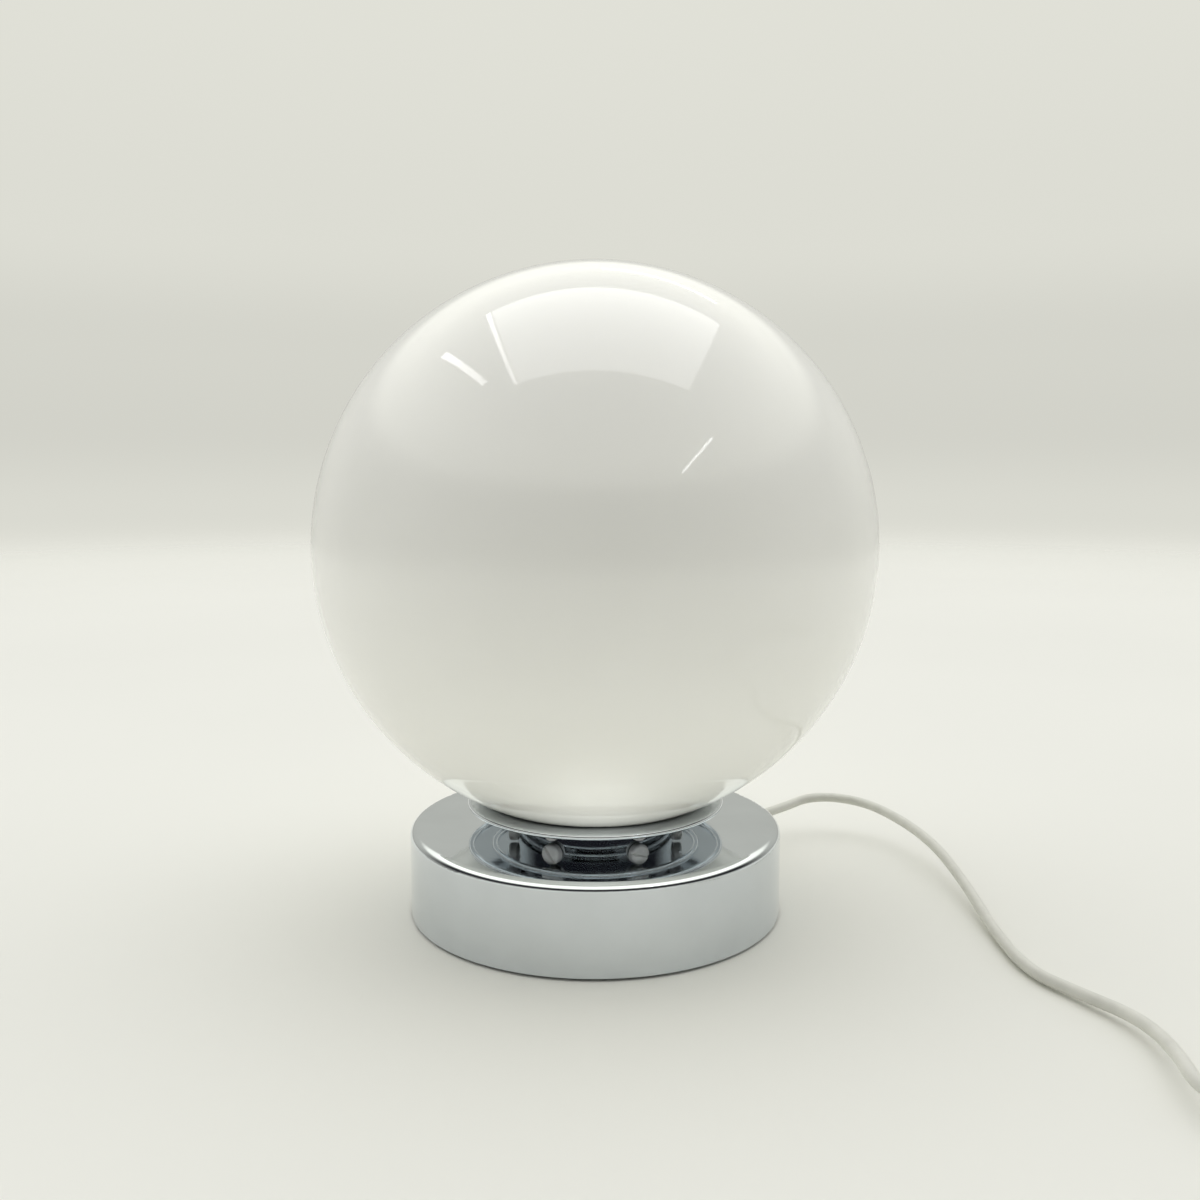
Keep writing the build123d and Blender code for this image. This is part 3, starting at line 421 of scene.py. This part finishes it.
def turned_mesh(name, rings, closed=False):
    """A smooth skin over rings of points about the axis; a closed one joins its last ring to its first."""
    work = bmesh.new()
    rows = [[work.verts.new(point) for point in ring] for ring in rings]
    following = rows[1:] + rows[:1] if closed else rows[1:]
    for lower, upper in zip(rows, following):
        for number in range(len(lower)):
            after = (number + 1) % len(lower)
            work.faces.new((lower[number], lower[after], upper[after], upper[number]))
    for face in work.faces:
        face.smooth = True
    mesh = bpy.data.meshes.new(name)
    work.to_mesh(mesh)
    work.free()
    mesh.set_sharp_from_angle(angle=SHARP_ANGLE)
    return mesh


# Mains cord, with the route's points of the CAD source in millimetres. Those in view are moved by up to
# 6.3 mm to follow the photograph, where the cord lifts off the table again before it leaves the view.

EXIT_ANGLE = math.radians(43.0)
EXIT_HEIGHT = 13.0
BUSHING_TIP = 90.4
STRAIGHT_OUT = 22.0
RUN_ROUTE = (
    (94.5, 84.0, 15.6), (110.1, 83.0, 15.6), (123.9, 71.2, 14.4), (136.6, 39.2, 11.0), (139.6, 2.5, 6.0),
    (138.3, -32.9, 2.6), (138.6, -65.0, 2.3), (147.7, -81.0, 2.6), (158.3, -102.0, 4.2), (157.0, -125.8, 6.4),
    (152.2, -146.3, 7.6), (163.2, -163.6, 7.4), (184.0, -168.0, 7.0), (197.0, -168.0, 7.0),
)
LINK_ROUTE = ((251.0, -168.0, 7.0), (264.0, -168.0, 7.0), (279.0, -171.0, 2.9), (292.0, -171.0, 2.9))
COIL_START = (296.0, -171.0, 2.9)
COIL_RADII = (34.0, 31.75, 29.5, 27.25, 25.0, 22.75, 20.5, 18.25, 16.0)
COIL_CLIMB = 4.5
TAIL_ROUTE = ((330.0, -133.0, 7.4), (330.0, -121.0, 7.4), (333.0, -107.0, 6.95), (333.0, -95.0, 6.95))


def exit_point(distance):
    """A point straight out of the drum's cord hole."""
    return (distance * math.cos(EXIT_ANGLE), distance * math.sin(EXIT_ANGLE), EXIT_HEIGHT)


def coil_points(steps):
    """The coil: half turns inwards on the floor, a climb, and outwards on top to a quarter turn."""
    radii = COIL_RADII + COIL_RADII[-2::-1]
    spread = 1.0 / math.cos(math.pi / (2 * steps))
    x, y, z = COIL_START
    side = 1
    points = []
    for number, radius in enumerate(radii):
        last = number == len(radii) - 1
        climb = COIL_CLIMB if number == len(COIL_RADII) - 1 else 0.0
        reach = math.hypot(radius, climb / 2) * spread
        for step in range(steps // 2 if last else steps):
            angle = math.pi * (step + 0.5) / steps
            along = side * (radius - radius * spread * math.cos(angle))
            rise = climb * (1 - math.cos(angle)) / 2
            points.append((x + side * reach * math.sin(angle), y + along, z + rise))
        y += side * 2 * radius
        z += climb
        side = -side
    return points


def cord_piece(name, points, diameter):
    """A round cord on one smooth spline through the route's points."""
    curve = bpy.data.curves.new(name, "CURVE")
    curve.dimensions = "3D"
    curve.bevel_depth = diameter / 2
    curve.bevel_resolution = 5
    curve.resolution_u = 10
    curve.use_fill_caps = True
    spline = curve.splines.new("NURBS")
    spline.points.add(len(points) - 1)
    for control, point in zip(spline.points, points):
        control.co = (*(value / 1000 for value in point), 1.0)
    spline.order_u = 3
    spline.use_endpoint_u = True
    return add_piece(name, curve)


class LAMP_OT_camera(bpy.types.Operator):
    """Puts the camera at the photograph's viewing angle"""

    bl_idname = "lamp.camera"
    bl_label = "Camera"

    def execute(self, context):
        studio = context.scene.lamp_studio
        data = bpy.data.cameras.new("camera")
        data.lens = studio.lens
        data.sensor_width = 36.0
        data.clip_start = 0.01
        camera = add_piece("camera", data)
        camera.location = (0.0, -studio.camera_distance, studio.camera_height)
        camera.rotation_euler = Euler((math.pi / 2 - studio.camera_pitch, 0.0, -studio.camera_yaw))
        context.scene.camera = camera
        return {"FINISHED"}


class LAMP_OT_cord(bpy.types.Operator):
    """Lays the mains cord from the drum to the switch and on through the coil to the plug"""

    bl_idname = "lamp.cord"
    bl_label = "Mains cord"

    def execute(self, context):
        sizes, finishes, _ = settings()
        sheath = cord_finish(finishes.cord)
        start = exit_point(BUSHING_TIP)
        route = (start, exit_point(BUSHING_TIP + STRAIGHT_OUT)) + RUN_ROUTE
        run = cord_piece("cord_from_drum", route, sizes.cord_diameter)
        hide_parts("cord_run")
        points = LINK_ROUTE + tuple(coil_points(sizes.turn_points)) + TAIL_ROUTE
        lead = cord_piece("cord_to_plug", points, sizes.cord_diameter)
        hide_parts("cord_link", "cord_coil", "cord_tail")
        for piece in (run, lead):
            paint(piece, sheath)
            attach(piece, "base")
        paint_nodes(("cord_bushing", "inner_cord", "lead_wires"), sheath)
        return {"FINISHED"}


class LAMP_OT_globe(bpy.types.Operator):
    """Finishes the glass globe"""

    bl_idname = "lamp.globe"
    bl_label = "Globe"

    def execute(self, context):
        paint_nodes(("globe",), opal_finish(context.scene.lamp_finishes.opal))
        return {"FINISHED"}


class LAMP_OT_chrome(bpy.types.Operator):
    """Finishes the drum, the gallery and its clamp screws, and widens the gallery's flange"""

    bl_idname = "lamp.chrome"
    bl_label = "Chrome pieces"

    # Ring that widens the flange: overlap with the CAD flange, drop below its top, sheet and segments
    RING_OVERLAP = 0.0014
    RING_DROP = 0.00005
    RING_THICKNESS = 0.0009
    RING_SEGMENTS = 192
    BEAD_RADIUS = 0.0011
    BEAD_STEPS = 24

    def execute(self, context):
        sizes, finishes, _ = settings()
        chrome = chrome_finish(finishes.chrome)
        paint_nodes(("base_shell", "gallery"), chrome)
        paint_nodes(CLAMP_SCREW_NODES, nickel_finish(finishes.nickel))
        ring = add_piece("gallery_rim", self.flange_ring(sizes.flange_radius))
        paint(ring, chrome)
        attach(ring, "base")
        return {"FINISHED"}

    def flange_ring(self, radius):
        """A flat ring that carries the gallery's flange out to a rolled bead."""
        low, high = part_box("gallery")
        inner = (high.x - low.x) / 2 - self.RING_OVERLAP
        top = high.z - self.RING_DROP
        outline = [(inner, top), (inner, top - self.RING_THICKNESS)]
        # The bead hangs from the ring's top, and starts where the ring's underside meets it
        bead = self.BEAD_RADIUS
        start = math.acos((bead - self.RING_THICKNESS) / bead)
        for step in range(self.BEAD_STEPS + 1):
            angle = start + (math.tau - start) * step / self.BEAD_STEPS
            outline.append((radius - bead - bead * math.sin(angle), top - bead + bead * math.cos(angle)))
        turns = turns_round(self.RING_SEGMENTS)
        rings = []
        for reach, height in outline:
            rings.append([(reach * math.cos(turn), reach * math.sin(turn), height) for turn in turns])
        return turned_mesh("gallery_rim", rings, closed=True)


class LAMP_OT_inside(bpy.types.Operator):
    """Finishes the weight, the bottom and the hardware in the drum"""

    bl_idname = "lamp.inside"
    bl_label = "Weight and hardware"

    def execute(self, context):
        sizes, finishes, _ = settings()
        paint_nodes(("weight",), iron_finish(finishes.iron))
        paint_nodes(("felt_pad",), felt_finish(finishes.felt))
        paint_nodes(STEEL_NODES, steel_finish(finishes.steel))
        paint_nodes(("threaded_tube",), tube_thread_finish(finishes.steel, sizes.tube_pitch))
        return {"FINISHED"}


class LAMP_OT_plastic(bpy.types.Operator):
    """Finishes the lampholder's housing, the cord clamp and the switch"""

    bl_idname = "lamp.plastic"
    bl_label = "Plastic pieces"

    def execute(self, context):
        paint_nodes(WHITE_PLASTIC_NODES, white_plastic_finish(context.scene.lamp_finishes.plastic))
        return {"FINISHED"}


class LAMP_OT_contacts(bpy.types.Operator):
    """Finishes the lampholder's core, its contacts and the switch terminals"""

    bl_idname = "lamp.contacts"
    bl_label = "Core and contacts"

    def execute(self, context):
        sizes, finishes, _ = settings()
        paint_nodes(("holder_core",), ceramic_finish(finishes.ceramic))
        plain = ("centre_contact", "terminal_screws", "switch_terminals", "bulb_tip")
        paint_nodes(plain, brass_finish(finishes.brass))
        paint_nodes(("screw_sleeve",), sleeve_thread_finish(finishes.brass, sizes.thread_pitch))
        return {"FINISHED"}


class LAMP_OT_bulb(bpy.types.Operator):
    """Makes the bulb's threaded cap and finishes its glass and foot"""

    bl_idname = "lamp.bulb"
    bl_label = "Bulb"

    SEGMENTS = 72
    ROWS_PER_TURN = 10
    # Radii over the thread and of the openings below and above
    CREST = 0.00695
    FOOT_OPENING = 0.0042
    TOP_OPENING = 0.0066
    # Where the thread starts above the foot and stops below the top, and how fast it runs out
    THREAD_START = 0.001
    THREAD_STOP = 0.0032
    RUN_OUT = 8
    # Rows of the foot and the shoulder, by height and by depth within the crest
    FOOT_ROWS = ((0.0, 0.0011), (0.0006, 0.0005))
    SHOULDER_ROWS = ((0.0026, 0.0002), (0.0019, -0.0002))
    # Rows of the flange, by depth below the top and within the flange's radius
    FLANGE_ROWS = ((0.00175, 0.0003), (0.0016, 0.0), (0.0004, 0.0), (0.0, 0.0004))

    def execute(self, context):
        sizes, finishes, _ = settings()
        low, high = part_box("bulb_cap")
        flange = (high.x - low.x) / 2
        rows = [(low.z, self.FOOT_OPENING, 0.0)]
        rows += [(low.z + rise, self.CREST - inset, 0.0) for rise, inset in self.FOOT_ROWS]
        thread_low = low.z + self.THREAD_START
        thread_high = high.z - self.THREAD_STOP
        count = round((thread_high - thread_low) / sizes.thread_pitch * self.ROWS_PER_TURN)
        for number in range(count + 1):
            share = number / count
            depth = sizes.thread_depth * min(1.0, self.RUN_OUT * share, self.RUN_OUT * (1 - share))
            rows.append((thread_low + share * (thread_high - thread_low), self.CREST, depth))
        rows += [(high.z - drop, self.CREST - inset, 0.0) for drop, inset in self.SHOULDER_ROWS]
        rows += [(high.z - drop, flange - inset, 0.0) for drop, inset in self.FLANGE_ROWS]
        rows.append((high.z, self.TOP_OPENING, 0.0))
        cap = add_piece("bulb_cap_thread", self.threaded_skin(rows, sizes.thread_pitch))
        paint(cap, steel_finish(finishes.steel))
        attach(cap, "bulb")
        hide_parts("bulb_cap")
        paint_nodes(("bulb_glass",), bulb_glass_finish())
        paint_nodes(("bulb_insulator",), black_glass_finish())
        return {"FINISHED"}

    def threaded_skin(self, rows, pitch):
        """A turned skin whose rows may carry a rolled screw thread."""
        rings = []
        for height, radius, depth in rows:
            ring = []
            for angle in turns_round(self.SEGMENTS):
                groove = 0.5 - 0.5 * math.cos(math.tau * height / pitch - angle)
                reach = radius - depth * groove
                ring.append((reach * math.cos(angle), reach * math.sin(angle), height))
            rings.append(ring)
        return turned_mesh("bulb_cap_thread", rings)


class LAMP_OT_plug(bpy.types.Operator):
    """Finishes the plug and the tie on the coil"""

    bl_idname = "lamp.plug"
    bl_label = "Plug and tie"

    def execute(self, context):
        finishes = context.scene.lamp_finishes
        paint_nodes(("plug_body",), white_plastic_finish(finishes.cord))
        paint_nodes(("cord_tie", "prong_sleeves"), dark_plastic_finish(finishes.dark))
        return {"FINISHED"}


class LAMP_OT_stage(bpy.types.Operator):
    """Sets the floor, the pale surroundings and the soft lights"""

    bl_idname = "lamp.stage"
    bl_label = "Stage"

    FLOOR_RADIUS = 2.6
    # Distances from the axis where the floor starts to fade and is gone
    FLOOR_FADE = (0.8, 2.496)
    # The direction's Y where the fill is dimmest, on the camera's side, and where it is full
    FILL_SPAN = (-0.95, 0.1)
    # The direction's Y where the fill starts to fall again, and where it is down to the back's share
    BACK_SPAN = (0.1, 0.8)
    # Spread of the broad light above, and how far it leans from the back
    TOP_SPREAD = math.radians(80)
    TOP_LEAN = math.radians(-14)
    # Light thrown up by the table in front of the lamp
    BOUNCE_SIZE = (0.24, 0.14)
    BOUNCE_PLACE = (0.0, -0.17, 0.003)
    # Narrow light on the clamp screws
    SPOT_PLACE = (0.0, -0.42, 0.06)
    SPOT_AIM = (0.0, -0.03, 0.038)
    SPOT_SPREAD = math.radians(9)
    SPOT_RADIUS = 0.02
    # Dark opening: colour, reach from the axis, half angle, and the heights and depths from full to faded out
    OPENING_COLOUR = (0.02, 0.02, 0.025, 1.0)
    OPENING_RADIUS = 0.75
    OPENING_ANGLE = math.radians(150)
    OPENING_STEPS = 48
    OPENING_FADE = (0.30, 0.56)
    OPENING_FOOT = (0.18, 0.0)
    OPENING_SIDES = (0.0, 0.54)
    # Sine of the height above the horizon, and the tone of the surroundings there
    TONES = (
        (-0.09, 0.80), (-0.045, 0.70), (0.02, 0.645), (0.09, 0.66), (0.17, 0.72), (0.36, 0.75), (0.5, 1.75),
        (0.62, 2.1), (0.85, 2.0),
    )
    WARMTH = (1.0, 1.0, 0.91)
    # Lit panels: name, place, the point it faces, width and height, roll, and share of the panel brightness
    PANELS = (
        ("ceiling", (0.03, -0.005, 0.62), (0.03, -0.005, 0.0), (0.5, 0.41), 0, 0.85),
        ("ceiling_left_strip", (-0.229, -0.005, 0.618), (-0.229, -0.005, 0.0), (0.012, 0.41), 0, 2.0),
        ("back_strip", (0.172, 0.593, 0.75), (0.0, 0.0, 0.165), (0.32, 0.02), 0, 1.4),
        ("left_strip", (-0.315, -0.016, 0.565), (0.0, 0.0, 0.165), (0.25, 0.018), 9, 2.2),
        ("right_streak", (0.45, -0.494, 0.575), (0.0, 0.0, 0.165), (0.25, 0.010), 33, 4.0),
    )

    def execute(self, context):
        studio = context.scene.lamp_studio
        self.floor(studio)
        self.surroundings(studio)
        self.lights(studio)
        self.dark_opening()
        return {"FINISHED"}

    def floor(self, studio):
        """A pale round floor."""
        work = bmesh.new()
        bmesh.ops.create_circle(work, cap_ends=True, segments=128, radius=self.FLOOR_RADIUS)
        mesh = bpy.data.meshes.new("floor")
        work.to_mesh(mesh)
        work.free()
        floor = add_piece("floor", mesh)
        material, tree, shader = new_material("floor")
        colour = studio.floor_colour
        vary_colour(tree, shader, noise_at(tree, 2.5, 2.0), shade(colour, 0.985), shade(colour, 1.005))
        shader.inputs["Roughness"].default_value = 0.7
        shader.inputs["Specular IOR Level"].default_value = 0.2
        self.soft_edge(tree, shader)
        paint(floor, material)

    def soft_edge(self, tree, shader):
        """Lets the floor fade into the surroundings towards its rim."""
        place = tree.nodes.new("ShaderNodeTexCoord")
        reach = tree.nodes.new("ShaderNodeVectorMath")
        reach.operation = "LENGTH"
        tree.links.new(place.outputs["Object"], reach.inputs[0])
        fade = tree.nodes.new("ShaderNodeMapRange")
        fade.interpolation_type = "SMOOTHSTEP"
        fade.inputs["From Min"].default_value, fade.inputs["From Max"].default_value = self.FLOOR_FADE
        fade.inputs["To Min"].default_value = 1.0
        fade.inputs["To Max"].default_value = 0.0
        tree.links.new(reach.outputs["Value"], fade.inputs["Value"])
        tree.links.new(fade.outputs["Result"], shader.inputs["Alpha"])

    def surroundings(self, studio):
        """Pale walls all round: as they are seen, dimmer in glass and metal, and as a fill light."""
        world = bpy.data.worlds.new("surroundings")
        bpy.context.scene.world = world
        world.use_nodes = True
        tree = world.node_tree
        seen = tree.nodes["Background"]
        place = tree.nodes.new("ShaderNodeTexCoord")
        split = tree.nodes.new("ShaderNodeSeparateXYZ")
        tree.links.new(place.outputs["Generated"], split.inputs["Vector"])
        lowest, highest = self.TONES[0][0], self.TONES[-1][0]
        level = tree.nodes.new("ShaderNodeMapRange")
        level.inputs["From Min"].default_value = lowest
        level.inputs["From Max"].default_value = highest
        tree.links.new(split.outputs["Z"], level.inputs["Value"])
        ramp = tree.nodes.new("ShaderNodeValToRGB")
        ramp.color_ramp.interpolation = "EASE"
        stops = ramp.color_ramp.elements
        while len(stops) < len(self.TONES):
            stops.new(0.5)
        for stop, (height, tone) in zip(stops, self.TONES):
            stop.position = (height - lowest) / (highest - lowest)
            stop.color = (*(tone * part for part in self.WARMTH), 1.0)
        tree.links.new(level.outputs["Result"], ramp.inputs["Fac"])
        tree.links.new(ramp.outputs["Color"], seen.inputs["Color"])
        fill = tree.nodes.new("ShaderNodeBackground")
        fill.inputs["Color"].default_value = (1.0, 1.0, 1.0, 1.0)
        side = tree.nodes.new("ShaderNodeMapRange")
        side.inputs["From Min"].default_value, side.inputs["From Max"].default_value = self.FILL_SPAN
        side.inputs["To Min"].default_value = studio.front_fill
        side.inputs["To Max"].default_value = studio.wall_fill
        tree.links.new(split.outputs["Y"], side.inputs["Value"])
        back = tree.nodes.new("ShaderNodeMapRange")
        back.inputs["From Min"].default_value, back.inputs["From Max"].default_value = self.BACK_SPAN
        back.inputs["To Min"].default_value = 1.0
        back.inputs["To Max"].default_value = studio.back_share
        tree.links.new(split.outputs["Y"], back.inputs["Value"])
        strength = tree.nodes.new("ShaderNodeMath")
        strength.operation = "MULTIPLY"
        tree.links.new(side.outputs["Result"], strength.inputs[0])
        tree.links.new(back.outputs["Result"], strength.inputs[1])
        tree.links.new(strength.outputs["Value"], fill.inputs["Strength"])
        path = tree.nodes.new("ShaderNodeLightPath")
        dimmed = tree.nodes.new("ShaderNodeMapRange")
        dimmed.inputs["To Min"].default_value = studio.mirrored_share
        dimmed.inputs["To Max"].default_value = 1.0
        tree.links.new(path.outputs["Is Camera Ray"], dimmed.inputs["Value"])
        tree.links.new(dimmed.outputs["Result"], seen.inputs["Strength"])
        either = path.outputs["Is Camera Ray"]
        for name in ("Is Glossy Ray", "Is Transmission Ray"):
            larger = tree.nodes.new("ShaderNodeMath")
            larger.operation = "MAXIMUM"
            tree.links.new(either, larger.inputs[0])
            tree.links.new(path.outputs[name], larger.inputs[1])
            either = larger.outputs["Value"]
        mix = tree.nodes.new("ShaderNodeMixShader")
        tree.links.new(either, mix.inputs["Fac"])
        tree.links.new(fill.outputs["Background"], mix.inputs[1])
        tree.links.new(seen.outputs["Background"], mix.inputs[2])
        tree.links.new(mix.outputs["Shader"], tree.nodes["World Output"].inputs["Surface"])

    def lights(self, studio):
        """The broad light above, the table's bounce, the narrow light on the screws, and the lit panels."""
        broad = bpy.data.lights.new("top_light", "SUN")
        broad.energy = studio.top_light
        broad.angle = self.TOP_SPREAD
        above = add_piece("top_light", broad)
        above.rotation_euler = Euler((self.TOP_LEAN, 0.0, 0.0))
        above.visible_glossy = False
        bounce = bpy.data.lights.new("table_bounce", "AREA")
        bounce.shape = "RECTANGLE"
        bounce.size, bounce.size_y = self.BOUNCE_SIZE
        bounce.energy = studio.bounce_light * math.pi * bounce.size * bounce.size_y
        below = add_piece("table_bounce", bounce)
        below.location = self.BOUNCE_PLACE
        below.rotation_euler = Euler((math.pi, 0.0, 0.0))
        below.visible_camera = False
        below.visible_glossy = False
        spot = bpy.data.lights.new("neck_spot", "SPOT")
        spot.energy = studio.spot_light
        spot.spot_size = self.SPOT_SPREAD
        spot.spot_blend = 1.0
        spot.shadow_soft_size = self.SPOT_RADIUS
        front = add_piece("neck_spot", spot)
        front.location = self.SPOT_PLACE
        facing = Vector(self.SPOT_AIM) - Vector(self.SPOT_PLACE)
        front.rotation_euler = facing.to_track_quat("-Z", "Y").to_euler()
        front.visible_glossy = False
        for name, place, aim, size, roll, share in self.PANELS:
            self.panel(name, Vector(place), Vector(aim), size, math.radians(roll), share * studio.panel_light)

    def panel(self, name, place, aim, size, roll, brightness):
        """A lit panel that shows only in the glass and the metal."""
        data = bpy.data.lights.new(name, "AREA")
        data.shape = "RECTANGLE"
        data.size, data.size_y = size
        data.energy = brightness * math.pi * data.size * data.size_y
        panel = add_piece(name, data)
        panel.location = place
        facing = (aim - place).to_track_quat("-Z", "Y") @ Quaternion((0.0, 0.0, 1.0), roll)
        panel.rotation_euler = facing.to_euler()
        panel.visible_diffuse = False

    def dark_opening(self):
        """The open, unlit side behind the camera, which the chrome and the glass show."""
        work = bmesh.new()
        columns = []
        for number in range(self.OPENING_STEPS + 1):
            angle = self.OPENING_ANGLE * (2 * number / self.OPENING_STEPS - 1)
            place = (self.OPENING_RADIUS * math.sin(angle), -self.OPENING_RADIUS * math.cos(angle))
            columns.append([work.verts.new((*place, height)) for height in (0.0, self.OPENING_FADE[1])])
        for one, other in zip(columns, columns[1:]):
            work.faces.new((one[0], other[0], other[1], one[1]))
        mesh = bpy.data.meshes.new("dark_opening")
        work.to_mesh(mesh)
        work.free()
        card = add_piece("dark_opening", mesh)
        card.visible_camera = False
        card.visible_diffuse = False
        card.visible_shadow = False
        material, tree, shader = new_material("dark_opening")
        shader.inputs["Base Color"].default_value = self.OPENING_COLOUR
        shader.inputs["Roughness"].default_value = 0.9
        shader.inputs["Specular IOR Level"].default_value = 0.0
        place = tree.nodes.new("ShaderNodeTexCoord")
        split = tree.nodes.new("ShaderNodeSeparateXYZ")
        tree.links.new(place.outputs["Object"], split.inputs["Vector"])
        spans = (("Z", self.OPENING_FADE), ("Z", self.OPENING_FOOT), ("Y", self.OPENING_SIDES))
        product = None
        for axis, (full, gone) in spans:
            fade = tree.nodes.new("ShaderNodeMapRange")
            fade.interpolation_type = "SMOOTHSTEP"
            fade.inputs["From Min"].default_value = full
            fade.inputs["From Max"].default_value = gone
            fade.inputs["To Min"].default_value = 1.0
            fade.inputs["To Max"].default_value = 0.0
            tree.links.new(split.outputs[axis], fade.inputs["Value"])
            if product is None:
                product = fade.outputs["Result"]
                continue
            both = tree.nodes.new("ShaderNodeMath")
            both.operation = "MULTIPLY"
            tree.links.new(product, both.inputs[0])
            tree.links.new(fade.outputs["Result"], both.inputs[1])
            product = both.outputs["Value"]
        tree.links.new(product, shader.inputs["Alpha"])
        paint(card, material)


class LAMP_PT_panel(bpy.types.Panel):
    """Lists the lamp's operators and values"""

    bl_label = "Bedside Lamp"
    bl_idname = "LAMP_PT_panel"
    bl_space_type = "VIEW_3D"
    bl_region_type = "UI"
    bl_category = "Lamp"

    def draw(self, context):
        for operator in OPERATORS:
            self.layout.operator(operator.bl_idname)
        for group in settings():
            for name in group.__annotations__:
                self.layout.prop(group, name)


GROUPS = {"lamp_sizes": LampSizes, "lamp_finishes": LampFinishes, "lamp_studio": LampStudio}
OPERATORS = (
    LAMP_OT_camera, LAMP_OT_cord, LAMP_OT_globe, LAMP_OT_chrome, LAMP_OT_inside, LAMP_OT_plastic,
    LAMP_OT_contacts, LAMP_OT_bulb, LAMP_OT_plug, LAMP_OT_stage,
)


def register():
    for name, group in GROUPS.items():
        bpy.utils.register_class(group)
        setattr(bpy.types.Scene, name, PointerProperty(type=group))
    for cls in OPERATORS + (LAMP_PT_panel,):
        bpy.utils.register_class(cls)


def unregister():
    for cls in reversed(OPERATORS + (LAMP_PT_panel,)):
        bpy.utils.unregister_class(cls)
    for name, group in GROUPS.items():
        delattr(bpy.types.Scene, name)
        bpy.utils.unregister_class(group)


def main():
    """Builds everything in order."""
    register()
    bpy.context.scene.view_settings.view_transform = "Standard"
    for operator in OPERATORS:
        group, name = operator.bl_idname.split(".")
        getattr(getattr(bpy.ops, group), name)()


if __name__ == "__main__":
    main()
